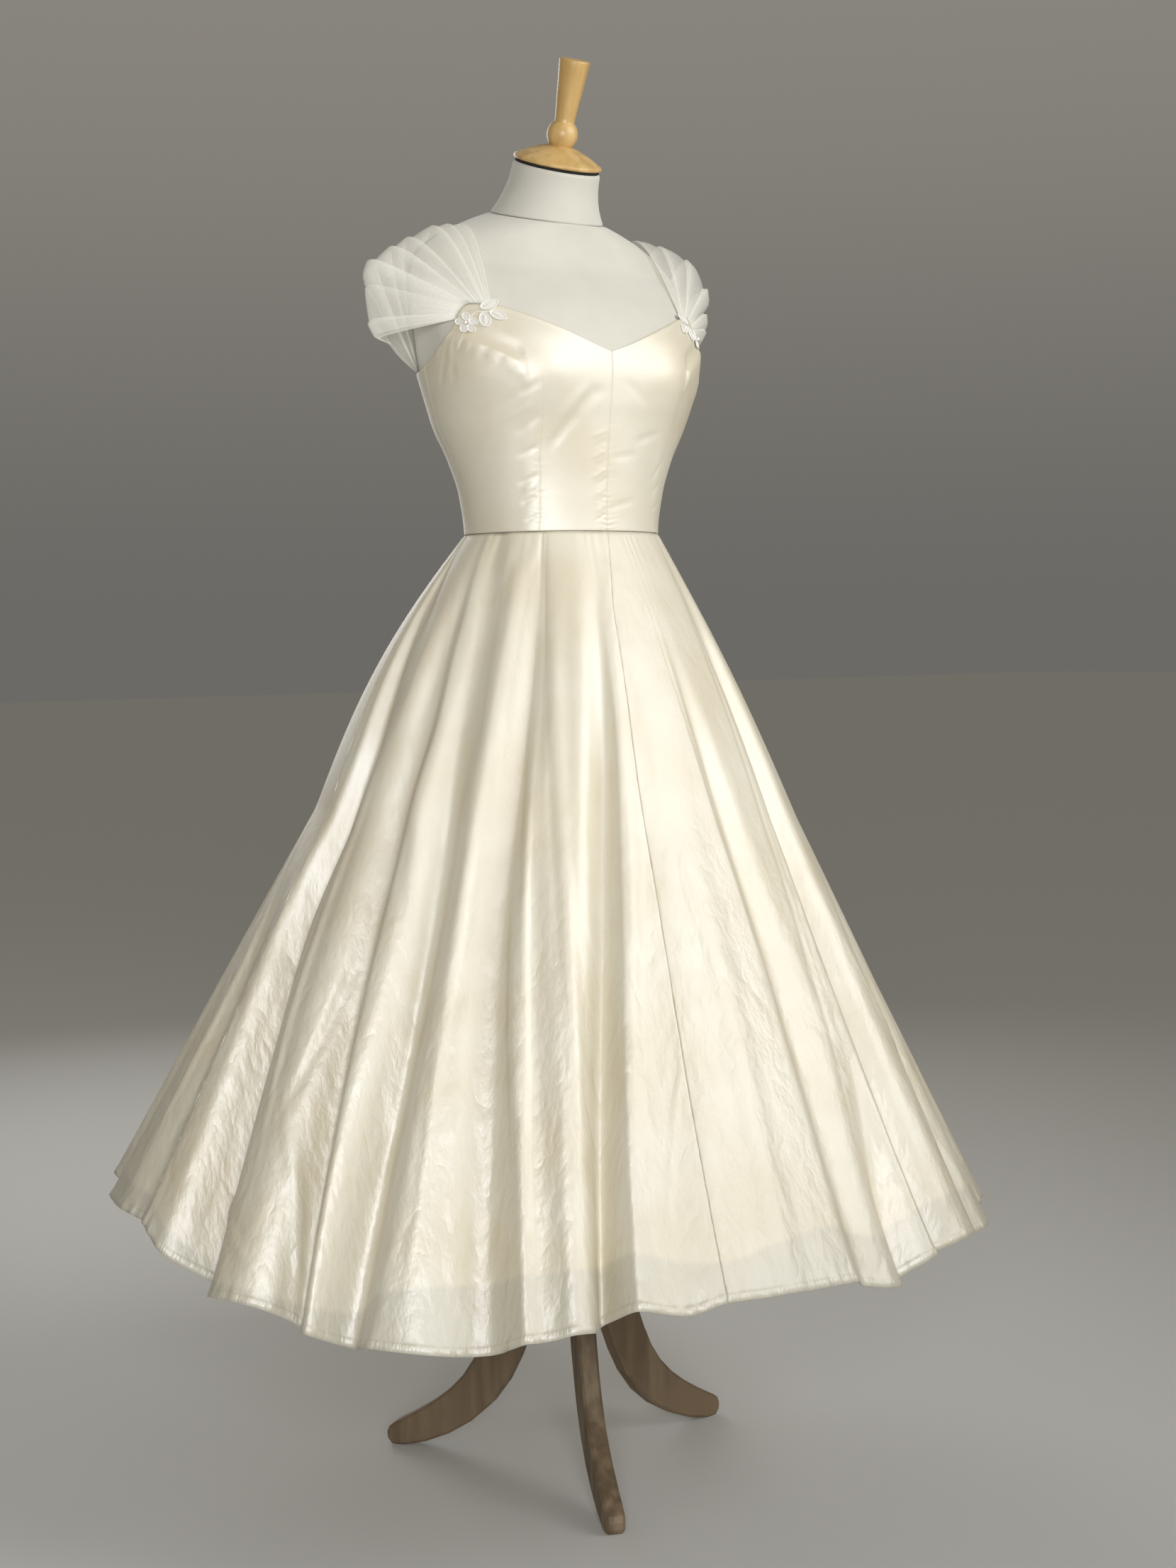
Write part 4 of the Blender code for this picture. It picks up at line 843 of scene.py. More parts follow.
# Smaller folds over the main ones, as ridges, or troughs below zero: half width and rise in metres, and the
# path of each as that of a fold.
SMALL_FOLDS = (
    (0.016, -0.0034, ((0.06, -171), (0.12, -167), (0.20, -164.5), (0.32, -165))),
    (0.014, 0.0024, ((0.07, -157), (0.15, -158.5), (0.28, -160))),
    (0.011, -0.0024, ((0.07, -154.5), (0.18, -151.8), (0.34, -152.5))),
    (0.014, -0.0034, ((0.03, -148), (0.07, -144.5), (0.14, -143), (0.25, -143), (0.36, -144))),
    (0.014, 0.0020, ((0.02, -133), (0.08, -139), (0.20, -139.5), (0.36, -138.5))),
    (0.012, -0.0030, ((0.03, -126), (0.09, -124.8), (0.20, -125), (0.36, -126))),
    (0.008, 0.0024, ((0.06, -122.3), (0.20, -122), (0.45, -121), (0.85, -119.3))),
    (0.009, 0.0022, ((0.25, -128.5), (0.45, -128), (0.65, -126.8), (0.88, -125.5))),
    (0.010, 0.0024, ((0.28, -139.8), (0.45, -140.2), (0.62, -140), (0.90, -139.2))),
    (0.009, 0.0022, ((0.30, -163), (0.48, -166), (0.62, -166.3), (0.85, -163.5))),
    (0.009, 0.0018, ((0.05, -118), (0.20, -118.6), (0.40, -118.9), (0.60, -118))),
    (0.014, -0.0028, ((0.04, -112), (0.12, -113.6), (0.25, -114.4), (0.45, -115.4))),
    (0.016, 0.0030, ((0.25, -111), (0.45, -111.5), (0.65, -113), (0.85, -113.5))),
    (0.012, 0.0035, ((0.45, -130.5), (0.62, -129), (0.85, -126.3), (1.1, -125))),
    (0.0045, -0.0013, ((0.20, -90.5), (0.45, -87.2), (0.60, -85.7), (0.80, -85), (1.1, -84.6))),
    (0.0045, -0.0013, ((0.08, -69.5), (0.20, -71.8), (0.32, -72.8), (0.50, -74), (0.65, -75.4), (0.85, -77))),
    (0.0045, -0.0011, ((0.08, -68), (0.20, -70.3), (0.32, -71.4), (0.50, -72.8), (0.65, -74))),
    (0.010, 0.0017, ((0.33, -153), (0.45, -150), (0.58, -148), (0.72, -147.6), (0.84, -149))),
    (0.008, -0.0026, ((0.58, -158.6), (0.68, -160), (0.78, -162))),
    (0.009, 0.0034, ((0.76, -162), (0.88, -158), (1.02, -155.3))),
    (0.008, 0.0024, ((0.86, -170), (0.92, -165), (0.97, -158))),
    (0.016, 0.0016, ((0.62, -138.5), (0.78, -136), (0.95, -133.5))),
    (0.006, 0.0009, ((0.66, -104.5), (0.78, -107.5), (0.90, -109.5))),
    (0.030, 0.0030, ((0.40, -98), (0.70, -96), (1.1, -95))),
    (0.007, 0.0016, ((0.55, -62), (0.75, -56), (0.95, -50))),
    (0.012, -0.0026, ((0.02, -46), (0.16, -50), (0.34, -49))),
    (0.012, -0.0026, ((0.02, -20), (0.14, -24), (0.34, -24))),
    (0.012, -0.0026, ((0.02, 30), (0.14, 34), (0.34, 36))),
    (0.012, -0.0026, ((0.02, 64), (0.14, 62), (0.34, 63))),
    (0.012, -0.0026, ((0.02, 118), (0.14, 115), (0.34, 115))),
    (0.012, -0.0026, ((0.02, 148), (0.14, 146), (0.34, 143))),
    (0.009, 0.0026, ((0.55, 12), (0.75, 15), (0.95, 14))),
    (0.009, 0.0026, ((0.50, 60), (0.72, 62), (0.92, 60))),
    (0.009, 0.0026, ((0.55, 134), (0.75, 131), (0.95, 133))),
    (0.009, 0.0026, ((0.45, 168), (0.65, 172), (0.90, 171))),
)
# How far above the hem the lining ends, by the angle at the hem.
LINING_NAMES = ("angle", "up")
LINING_HEM = (
    (-180, 0.026), (-160, 0.016), (-150, 0.030), (-141, 0.058), (-133, 0.070), (-124, 0.066), (-115, 0.058),
    (-108, 0.052), (-103, 0.040), (-97, 0.050), (-88, 0.060), (-78, 0.054), (-50, 0.050), (60, 0.054),
    (140, 0.046), (180, 0.026),
)


def fold_shape(x, lap):
    """Depth of a fold across its width, from 0 at its edges to 1 at its floor, which lies under its lap."""
    floor = 0.36 * np.sign(lap)
    away = np.where(x > floor, (x - floor) / (1.15 - floor), (floor - x) / (1.15 + floor))
    return (0.5 + 0.5 * np.cos(np.pi * np.clip(away, 0, 1))) ** 1.5


def wrapped(degrees):
    return (degrees + 180) % 360 - 180


def along_path(path, down):
    """The angle at the hem of a fold's path, or of the seam, at each place down the skirt."""
    steps, angles = np.array(path, float).T
    return smooth(np.clip(down, steps[0], steps[-1]), steps, angles)


def skirt(angle, down):
    """Points on the outside of the skirt: angle at the hem, and share of the way down from the waist."""
    angle, down = np.broadcast_arrays(np.asarray(angle, float), np.asarray(down, float))
    swing = columns(HEM_SWING, SWING_NAMES)
    hem = columns(SKIRT, SKIRT_NAMES)
    length, radius, fullness = (smooth(wrapped(angle), hem["angle"], hem[name]) for name in SKIRT_NAMES[1:])
    turn = angle + smooth(wrapped(angle), swing["angle"], swing["swing"]) * (1 - down) ** SWING_POWER
    spread = down + fullness * np.sin(np.pi * np.clip(down / 0.42, 0, 1))
    radius = radius * spread
    for half_width, depth, lap, start, path in FOLDS:
        x = wrapped(angle - along_path(path, down)) / half_width
        grown = ease_in((down - start) / 0.30) * (0.08 + 0.92 * down**1.2)
        radius = radius - depth * grown * fold_shape(x, lap)
        turn = turn - abs(lap) * grown**2 * np.sin(np.pi * np.clip(x, -1, 1)) * (1 - np.clip(x, -1, 1) ** 2)
    turn = np.radians(turn)
    waist_x = WAIST_HALF_WIDTH * np.cos(turn)
    waist_y = WAIST_HALF_DEPTH * np.sin(turn)
    x = waist_x * (1 - spread) + radius * np.cos(turn) + HEM_SHIFT[0] * down
    y = waist_y * (1 - spread) + radius * np.sin(turn) + WAIST_BACK_SHIFT * (1 - down) + HEM_SHIFT[1] * down
    out = np.hypot(x - waist_x, y - waist_y - WAIST_BACK_SHIFT)
    z = WAIST_HEIGHT - SEAM_HALF_GAP - np.sqrt(np.maximum((length * down) ** 2 - out**2, 0))
    return np.stack([x, y, z], axis=-1) + STAND_AXIS


def small_folds(angle, down, degree):
    """The rise of the skirt by its smaller folds. A degree's length turns angles into metres."""
    rise = np.zeros_like(angle)
    for half_width, height, path in SMALL_FOLDS:
        beside = wrapped(angle - along_path(path, down)) * degree
        along = (down - path[0][0]) / (path[-1][0] - path[0][0])
        rise += height * bump(beside / half_width) * faded_ends(along)
    return rise


def skirt_form(start, end):
    def form(u, v):
        down = v - 0.35 * np.sin(2 * np.pi * v) / (2 * np.pi)
        drift = along_path(SEAM_DRIFT, down)
        first = start + drift * (start == FRONT_SEAM)
        last = end + drift * (end == FRONT_SEAM)
        angle = first + (last - first) * crowded(u, 0.25)
        points = skirt(angle, down)
        hem = columns(SKIRT, SKIRT_NAMES)
        length = smooth(wrapped(angle), hem["angle"], hem["length"])
        above = length * (1 - down)
        radius = 0.11 + 0.41 * down
        degree = radius * np.pi / 180
        from_first, from_last = (angle - first) * degree, (last - angle) * degree
        seam = np.minimum(from_first, from_last)
        rise = small_folds(angle, down, degree)
        for distance, seed in ((from_first, 0.7), (from_last, 1.9)):
            wave = ragged((above - 0.2 * distance) / 0.011, seed)
            rise -= 0.0003 * np.exp(-((distance / 0.0014) ** 2)) - 0.0005 * wave * np.exp(-distance / 0.010)
        from_waist = length * down
        gathers = ragged(angle / 4.6, 0.8) * np.exp(-from_waist / 0.030)
        rise += 0.0004 * gathers * ease_in(from_waist / 0.004)
        rise -= 0.0005 * np.exp(-((from_waist / 0.0018) ** 2))
        rise += 0.0005 * np.exp(-((above - TURNING * 0.5) / (TURNING * 0.6)) ** 2)
        rise += 0.0012 * ragged(angle / 1.9, 0.3) * np.exp(-above / 0.012)
        table = columns(LINING_HEM, LINING_NAMES)
        lining_hem = smooth(wrapped(angle), table["angle"], table["up"])
        return points, rise, {"seam": seam, "above_hem": above, "lining_edge": lining_hem}

    return form


skirt_satin = satin_finish("ivory skirt satin", hem="above_hem")
SKIRT_CUTS = {
    "skirt_front_right": (-180, FRONT_SEAM, (0.95, 0.94), 0.60),
    "skirt_front_left": (FRONT_SEAM, 0, (1.10, 0.94), 0.60),
    "skirt_back_left": (0, 90, (1.10, 0.94), 0.60),
    "skirt_back_right": (90, 180, (1.10, 0.94), 0.60),
}
for name, (start, end, cut, filled) in SKIRT_CUTS.items():
    panel = piece(f"{name}_satin", laid(name, SKIRT_GRID, cut, skirt_form(start, end)), skirt_satin)
    lined(panel)
    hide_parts(name)

# --- centre back zip -----------------------------------------------------------------------------------
# A fine nylon zip from the top edge of the back to a hand below the waist: two woven tapes sewn in under
# the seam, their teeth between them, and a plain metal slider with a pull tab at the top.

TAPE_GRID = (12, 120)
ZIP_TOOTH_SPACING = 0.0016
ZIP_TOOTH = (0.0017, 0.0007, 0.0008)
TAPE_COLOUR = (0.74, 0.69, 0.56)


def zip_line(share):
    """Points down the middle of the zip, on the outside of the bodice and then of the skirt."""
    top = top_height(90.0)
    heights = top - 0.0005 + (WAIST_HEIGHT + 0.001 - top) * np.linspace(0, 1, 60)
    bodice = figure(np.full(60, 90.0), heights, EASE + WALL - 0.0002)
    below = skirt(90.0, np.linspace(0.01, ZIP_END - 0.01, 40))
    line = np.concatenate([bodice, below])
    line[:, 0] = STAND_AXIS[0]
    run = np.concatenate([[0], np.cumsum(np.linalg.norm(np.diff(line, axis=0), axis=1))])
    return np.stack([np.interp(share * run[-1], run, line[:, i]) for i in range(3)], axis=-1), run[-1]


def tape_form(u, v):
    points, length = zip_line(v)
    points[..., 0] += (0.5 - u) * 2 * ZIP_HALF_WIDTH
    sunk = 0.0004 * np.exp(-(((u - 0.5) / 0.2) ** 2))
    return points, -sunk, {"seam": np.ones_like(u)}


tape_finish, shader = new_finish("woven zip tape", TAPE_COLOUR, Roughness=0.7)
cloth = cut_place(tape_finish)
raise_by(tape_finish, shader, noise(tape_finish, cloth, 900, 2, (1.0, 3.0, 1.0)), 0.0003, 0.8)
tape_mesh = laid("back_zip_tape", TAPE_GRID, (2 * ZIP_HALF_WIDTH, 0.31), tape_form)
tape = piece("back_zip_tape", tape_mesh, tape_finish)
thick = tape.modifiers.new("tape", "SOLIDIFY")
thick.thickness = 0.0008
thick.offset = -1
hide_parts("back_zip")

nylon, shader = new_finish("nylon teeth", (0.80, 0.77, 0.66), Roughness=0.32)
textured(nylon, shader, 2000, 0.0001, 0.3)
bm = bmesh.new()
length = zip_line(0.0)[1]
count = int(length / ZIP_TOOTH_SPACING)
for i, centre in enumerate(zip_line((np.arange(count) + 0.5) / count)[0]):
    place = Matrix.Translation(centre) @ Matrix.Translation((0.0005 if i % 2 else -0.0005, 0, 0))
    bmesh.ops.create_cube(bm, size=1, matrix=place @ Matrix.Diagonal((*ZIP_TOOTH, 1)))
teeth = piece("back_zip_teeth", mesh_of(bm, "back_zip_teeth"), nylon)

zip_metal, shader = new_finish("zip metal", (0.58, 0.57, 0.54), Metallic=1.0, Roughness=0.30)
textured(zip_metal, shader, 900, 0.0002, 0.3)
refinish("zip_slider", zip_metal)
refinish("zip_pull", zip_metal)

# --- sleeves -------------------------------------------------------------------------------------------
# Wings of fine ivory tulle, gathered into the top edge of the front under the appliqué, spread over the
# shoulder in soft rounded folds, and gathered again into the top edge of the back.

# The folds of each wing: where each starts across the fan, from the neck to the free edge, and how high
# its rounded edge stands over the one before.
LOBE_NAMES = ("start", "height")
LOBES_RIGHT = (
    (0.000, 0.0012), (0.077, 0.0026), (0.155, 0.0036), (0.311, 0.0040), (0.420, 0.0045), (0.570, 0.0080),
    (0.700, 0.0014), (0.880, 0.0026),
)
LOBES_LEFT = (
    (0.000, 0.0012), (0.167, 0.0030), (0.368, 0.0040), (0.585, 0.0065), (0.776, 0.0060), (0.890, 0.0040),
)
# Where each wing turns over the shoulder, from the neck to the free edge, and how tightly it turns there.
# Both are given as on the wearer's right.
CREST_NAMES = ("across", "x", "y", "z", "tight")
CREST_RIGHT = (
    (0.000, -0.1150, 0.0120, 1.4385, 0.9),
    (0.077, -0.1320, 0.0120, 1.4365, 1.2),
    (0.155, -0.1500, 0.0110, 1.4325, 1.3),
    (0.311, -0.1820, 0.0090, 1.4175, 1.6),
    (0.420, -0.2030, 0.0070, 1.4060, 2.6),
    (0.570, -0.2290, 0.0010, 1.3885, 5.0),
    (0.647, -0.2400, -0.0020, 1.3720, 5.5),
    (0.762, -0.2425, -0.0050, 1.3500, 5.5),
    (0.876, -0.2410, -0.0070, 1.3250, 5.0),
    (1.000, -0.2330, -0.0080, 1.3030, 4.0),
)
CREST_LEFT = (
    (0.000, -0.1163, 0.0120, 1.4385, 1.0),
    (0.078, -0.1323, 0.0120, 1.4380, 1.1),
    (0.167, -0.1490, 0.0100, 1.4335, 1.2),
    (0.284, -0.1720, 0.0080, 1.4280, 1.4),
    (0.368, -0.1860, 0.0060, 1.4205, 1.6),
    (0.472, -0.2015, 0.0020, 1.4080, 2.2),
    (0.585, -0.2095, -0.0030, 1.3885, 3.0),
    (0.680, -0.2135, -0.0050, 1.3715, 4.0),
    (0.776, -0.2075, -0.0060, 1.3580, 4.0),
    (0.852, -0.2100, -0.0080, 1.3450, 4.0),
    (0.904, -0.2070, -0.0080, 1.3360, 4.0),
    (1.000, -0.2000, -0.0080, 1.3190, 4.0),
)
SLEEVE_FRONT_GATHER = (44.0, 63.5)  # where the tulle is gathered into the bodice's top edge, as angles
SLEEVE_BACK_GATHER = (128.0, 108.0)  # from the centre front: the strand by the neck, and the free edge
GATHER_LIFT = 0.0010
FOLD_EDGE = 0.014  # the part of the fan over which a fold's rounded edge rises
SLEEVE_TUCK = 0.016  # how far the back of a wing is drawn in towards the arm plate
SLEEVE_CLEAR = (0.0012, 0.0030)  # above the figure at the gathers, and the more over the shoulder
TULLE_THICKNESS = 0.0006  # a double layer
SLEEVE_GRID = (90, 200)
TULLE = (0.88, 0.86, 0.78)
TULLE_LAYER_COVER = (0.14, 0.78)  # how much one layer hides where it is spread, and where it is gathered


def inside_figure(points, gap):
    """How deep each point lies inside the form grown by the gap, as a share of the ring: over 0 is in."""
    table = columns(FIGURE, FIGURE_NAMES)
    level = table["height"]
    x, y, z = np.moveaxis(points, -1, 0)
    height = z.copy()
    for _ in range(4):
        height = z - y * np.tan(np.radians(smooth(height, level, table["tilt"])))
    half_width = smooth(height, level, table["half_width"]) + gap
    front = smooth(height, level, table["front"]) + gap
    back = smooth(height, level, table["back"]) + gap
    behind = y - (back - front) / 2
    square = np.where(behind < 0, smooth(height, level, table["square"]), 2.0)
    across, deep = np.abs(x) / half_width, np.abs(behind) / ((back + front) / 2)
    ring = (across**square + deep**square) ** (1 / square)
    plate = np.abs(x) / (ARM_PLATE_ACROSS + gap)
    over = np.clip((height - level[-1] - gap) / 0.02, 0, None)
    return 1 - np.maximum(ring, plate) - over


def clear_of_figure(points, gap):
    """The points, with those inside the form moved out of it along the shortest way."""
    points = points.copy()
    step = 1e-4
    for _ in range(12):
        depth = inside_figure(points, gap)
        slopes = [(inside_figure(points + step * axis, gap) - depth) / step for axis in np.eye(3)]
        slope = np.stack(slopes, axis=-1)
        size = np.maximum((slope**2).sum(axis=-1), 1e-6)
        points -= (np.clip(depth, 0, None) / size)[..., None] * slope * 0.8
    return points


def gathered(across, places):
    """Where the sleeve's strands meet the top edge of the bodice, on the wearer's right."""
    angle = -90 - (places[0] + (places[1] - places[0]) * across)
    return figure(angle, top_height(angle) + GATHER_LIFT, EASE) - STAND_AXIS


def wing(crest, across, along):
    """Points of a wing, as on the wearer's right: across its fan from the neck to the free edge, and along
    from front to back. Each strand leaves the front gather, turns over the shoulder and ends at the back."""
    table = columns(crest, CREST_NAMES)
    top = np.stack([smooth(across, table["across"], table[name]) for name in ("x", "y", "z")], axis=-1)
    front = gathered(across, SLEEVE_FRONT_GATHER)
    back = gathered(across, SLEEVE_BACK_GATHER)
    tight = smooth(across, table["across"], table["tight"])[..., None]
    corner = (top * (2 + 2 * tight) - front - back) / (2 * tight)
    v = along[..., None]
    pull = 2 * tight * v * (1 - v)
    points = ((1 - v) ** 2 * front + pull * corner + v**2 * back) / ((1 - v) ** 2 + pull + v**2)
    points[..., 0] += SLEEVE_TUCK * across**2 * np.sin(np.pi * np.clip(2 * along - 1, 0, 1))
    return points


def lobes(rows, across):
    """Height of the folds across the fan, and how close each place is to the rounded edge of its fold."""
    table = columns(rows, LOBE_NAMES)
    which = np.clip(np.searchsorted(table["start"], across, side="right") - 1, 0, len(rows) - 1)
    wide = np.append(table["start"][1:], 1.0)[which] - table["start"][which]
    past = across - table["start"][which]
    rounded = ease_in(past / np.minimum(FOLD_EDGE, 0.4 * wide))
    height = table["height"][which] * rounded * (1 - 0.85 * past / wide)
    return height, np.exp(-past / 0.045) * np.clip(table["height"][which] / 0.0036, 0, 1)


def sleeve_form(side, crest, rows):
    def form(u, v):
        along = 1 - u if side < 0 else u
        across = v
        height, edge = lobes(rows, across)
        spread = np.sin(np.pi * along) ** 0.6
        from_gather = np.minimum(along, 1 - along)
        points = wing(crest, across, along)
        outward = normals_of(points) * (1 if side < 0 else -1)
        fine = 0.0005 * np.sin(2 * np.pi * (across * 17 + 0.8 * np.sin(7 * across)))
        fine *= np.exp(-from_gather / 0.10) * np.sin(np.pi * along) ** 0.5
        hem = 0.0050 * ease_in((across - 0.972) / 0.028)
        points = points + outward * ((height - hem) * spread + fine)[..., None]
        points = clear_of_figure(points, SLEEVE_CLEAR[0] + SLEEVE_CLEAR[1] * np.sin(np.pi * along) ** 0.5)
        points[..., 0] *= -side
        gather = np.exp(-from_gather / 0.05)
        folded = 0.55 * edge + 0.45 * np.exp(-(1 - across) / 0.03)
        cover = np.clip(gather + folded * (1 - gather), 0, 1)
        return points + STAND_AXIS, np.zeros_like(u), {"cover": cover}

    return form


tulle, shader = new_finish("ivory tulle", TULLE, Roughness=0.75, Sheen_Weight=0.3, Sheen_Roughness=0.5)
cloth = cut_place(tulle)
net = add_node(tulle, "TexVoronoi", {"feature": "DISTANCE_TO_EDGE"}, Vector=cloth, Scale=800.0)
thread = one_minus(tulle, mask(tulle, net.outputs["Distance"], 0.05, 0.30))
cover = kept_value(tulle, "cover")
low, high = TULLE_LAYER_COVER
solid = sums(tulle, "ADD", times(tulle, cover, high - low), low)
for uneven, middle, share in ((thread, 0.45, 0.09), (noise(tulle, cloth, 30), 0.5, 0.06)):
    solid = sums(tulle, "ADD", solid, times(tulle, sums(tulle, "SUBTRACT", uneven, middle), share))
tulle.node_tree.links.new(add_node(tulle, "Clamp", Value=solid).outputs[0], shader.inputs["Alpha"])
raise_by(tulle, shader, thread, 0.0001, 0.4)
# Each wing's side, crest and folds, its flat cut, and the share of that which the cut fills.
SLEEVES = {
    "sleeve_right": (-1, CREST_RIGHT, LOBES_RIGHT, (0.34, 0.20), 0.68),
    "sleeve_left": (1, CREST_LEFT, LOBES_LEFT, (0.32, 0.16), 0.68),
}
for name, (side, crest, rows, cut, filled) in SLEEVES.items():
    mesh = laid(f"{name}_tulle", SLEEVE_GRID, cut, sleeve_form(side, crest, rows))
    wing_piece = piece(f"{name}_tulle", mesh, tulle)
    thick = wing_piece.modifiers.new("double tulle", "SOLIDIFY")
    thick.thickness = TULLE_THICKNESS
    thick.offset = -1
    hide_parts(name)

# --- appliqué sprigs -----------------------------------------------------------------------------------
# One sprig covers the front gather of each sleeve: a five-petalled flower with a pearl and three leaves,
# each a scrap of organza edged with white cord and sewn down, with a row of glass beads down a leaf.

FLOWER_FROM_FRONT = 57.5
FLOWER_HEIGHT = 1.3200
PETAL_TURNS = (82, 9, -62, -124, 169)
PETAL_OUT = 0.0078
PETAL_SIZE = (0.0055, 0.0046)
LEAF_NAMES = ("along", "up", "half_length", "half_width", "turn", "point")
LEAVES = (
    (0.0275, 0.0220, 0.0103, 0.0056, 28.0, 0.12),
    (0.0200, 0.0035, 0.0092, 0.0060, 84.0, 0.08),
    (0.0336, 0.0085, 0.0088, 0.0058, -38.0, 0.50),
)
SPRIG_LIFT = 0.0005
ORGANZA_THICKNESS = 0.0004
ORGANZA_CROWN = 0.0006
CORD_WIDTH = 0.0010
CORD_RISE = 0.0010
BEAD_RADIUS = 0.00085
PEARL_RADIUS = 0.0021
CORD_WHITE = (0.84, 0.82, 0.76)
PEARL_WHITE = (0.86, 0.83, 0.76)
PEARL_PINK = (0.88, 0.80, 0.76)
STEM = (
    (0.0045, 0.0060), (0.0100, 0.0120), (0.0165, 0.0135), (0.0215, 0.0120), (0.0260, 0.0130),
    (0.0300, 0.0118),
)


def on_bodice(side, flat):
    """Points of the flat sprig, along towards the centre front, up, and out, laid on the bodice."""
    flat = np.asarray(flat)
    pair = figure(np.array([0.0, 0.5]) - 90 - FLOWER_FROM_FRONT, np.full(2, FLOWER_HEIGHT))
    angle = 0.5 * flat[:, 0] / np.linalg.norm(pair[1] - pair[0]) - 90 - FLOWER_FROM_FRONT
    out = EASE + WALL + SPRIG_LIFT + flat[:, 2]
    points = figure(angle, FLOWER_HEIGHT + flat[:, 1] * 0.93, out) - STAND_AXIS
    return points * (-side, 1, 1) + STAND_AXIS


def corded(bm, centre, half_length, half_width, turn, point):
    """A leaf or petal in the flat: a thin oval with a raised cord round it, drawn to a point at its end."""
    made = bmesh.ops.create_circle(bm, cap_ends=True, segments=28, radius=1)["verts"]
    face = made[0].link_faces[0]
    if face.normal.z < 0:
        bmesh.ops.reverse_faces(bm, faces=[face])
    for vertex in made:
        narrow = 1 - point * max(vertex.co.x, 0) ** 2
        vertex.co = (vertex.co.x * half_length, vertex.co.y * half_width * narrow, 0)
    place = Matrix.Translation((*centre, 0)) @ Matrix.Rotation(math.radians(turn), 4, "Z")
    bmesh.ops.transform(bm, matrix=place, verts=made)
    grown = bmesh.ops.extrude_face_region(bm, geom=[face])["geom"]
    top = next(item for item in grown if isinstance(item, bmesh.types.BMFace))
    bmesh.ops.translate(bm, verts=top.verts, vec=(0, 0, ORGANZA_THICKNESS))
    rim = bmesh.ops.inset_region(bm, faces=[top], thickness=CORD_WIDTH, use_even_offset=True)["faces"]
    raised = bmesh.ops.extrude_face_region(bm, geom=rim)["geom"]
    cord_verts = [item for item in raised if isinstance(item, bmesh.types.BMVert)]
    bmesh.ops.translate(bm, verts=cord_verts, vec=(0, 0, CORD_RISE))
    bmesh.ops.delete(bm, geom=rim, context="FACES_ONLY")
    crown = bmesh.ops.poke(bm, faces=[top])
    bmesh.ops.translate(bm, verts=crown["verts"], vec=(0, 0, ORGANZA_CROWN))
    for face in crown["faces"]:
        face.material_index = 1


cord_finish, shader = new_finish("white cord", CORD_WHITE, Roughness=0.42, Sheen_Weight=0.3)
textured(cord_finish, shader, 1500, 0.0004, 0.8, 2)
organza, shader = new_finish("organza", (0.86, 0.84, 0.77), Roughness=0.30, Alpha=0.80)
textured(organza, shader, 2200, 0.0002, 0.5, 2)
pearl_finish, shader = new_finish("pearl", PEARL_WHITE, Roughness=0.14, Coat_Weight=1.0, Coat_Roughness=0.05)
cloudy = noise(pearl_finish, object_place(pearl_finish), 600)
paint(pearl_finish, shader, blend_colour(pearl_finish, cloudy, PEARL_WHITE, PEARL_PINK))

for side_name, side in (("right", -1), ("left", 1)):
    shapes = {"applique_flower": [], "applique_leaf_1": [], "applique_leaf_2": [], "applique_leaf_3": []}
    for turn in PETAL_TURNS:
        middle = (PETAL_OUT * math.cos(math.radians(turn)), PETAL_OUT * math.sin(math.radians(turn)))
        shapes["applique_flower"].append((middle, *PETAL_SIZE, turn, 0.0))
    for number, row in enumerate(LEAVES, 1):
        shapes[f"applique_leaf_{number}"].append(((row[0], row[1]), *row[2:]))
    for shape_name, ovals in shapes.items():
        bm = bmesh.new()
        for oval in ovals:
            corded(bm, *oval)
        laid_on = on_bodice(side, [vertex.co for vertex in bm.verts])
        for vertex, point in zip(bm.verts, laid_on):
            vertex.co = point
        bmesh.ops.recalc_face_normals(bm, faces=bm.faces)
        mesh = mesh_of(bm, f"{shape_name}_{side_name}_cord")
        mesh.shade_smooth()
        sprig = piece(mesh.name, mesh, cord_finish)
        sprig.data.materials.append(organza)
        soft = sprig.modifiers.new("round cord", "SUBSURF")
        soft.levels = 2
        soft.render_levels = 2
        kind, _, number = shape_name.partition("leaf_")
        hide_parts(f"{kind}leaf_{side_name}_{number}" if number else f"{shape_name}_{side_name}")
    bm = bmesh.new()
    pearl = Matrix.Translation(on_bodice(side, [(0, 0, PEARL_RADIUS + 0.0006)])[0])
    bmesh.ops.create_uvsphere(bm, u_segments=24, v_segments=16, radius=PEARL_RADIUS, matrix=pearl)
    beads = []
    for row in LEAVES:
        leaf = dict(zip(LEAF_NAMES, row))
        lean = math.radians(leaf["turn"])
        for i in range(-3, 3):
            step = (i + 0.5) * BEAD_RADIUS * 2.15
            beads.append((leaf["along"] + step * math.cos(lean), leaf["up"] + step * math.sin(lean), 0.0012))
    for point in on_bodice(side, beads):
        bmesh.ops.create_icosphere(bm, subdivisions=2, radius=BEAD_RADIUS, matrix=Matrix.Translation(point))
    mesh = mesh_of(bm, f"applique_beads_{side_name}")
    mesh.shade_smooth()
    beads = piece(mesh.name, mesh, pearl_finish)
    curve = bpy.data.curves.new(f"applique_stem_{side_name}", "CURVE")
    curve.dimensions = "3D"
    curve.bevel_depth = CORD_WIDTH / 2
    curve.bevel_resolution = 3
    curve.use_fill_caps = True
    spline = curve.splines.new("NURBS")
    spline.points.add(len(STEM) - 1)
    stem_line = on_bodice(side, [(along, up, 0.0006) for along, up in STEM])
    for point, place in zip(spline.points, stem_line):
        point.co = (*place, 1)
    spline.use_endpoint_u = True
    spline.order_u = 4
    stem = piece(curve.name, curve, cord_finish)

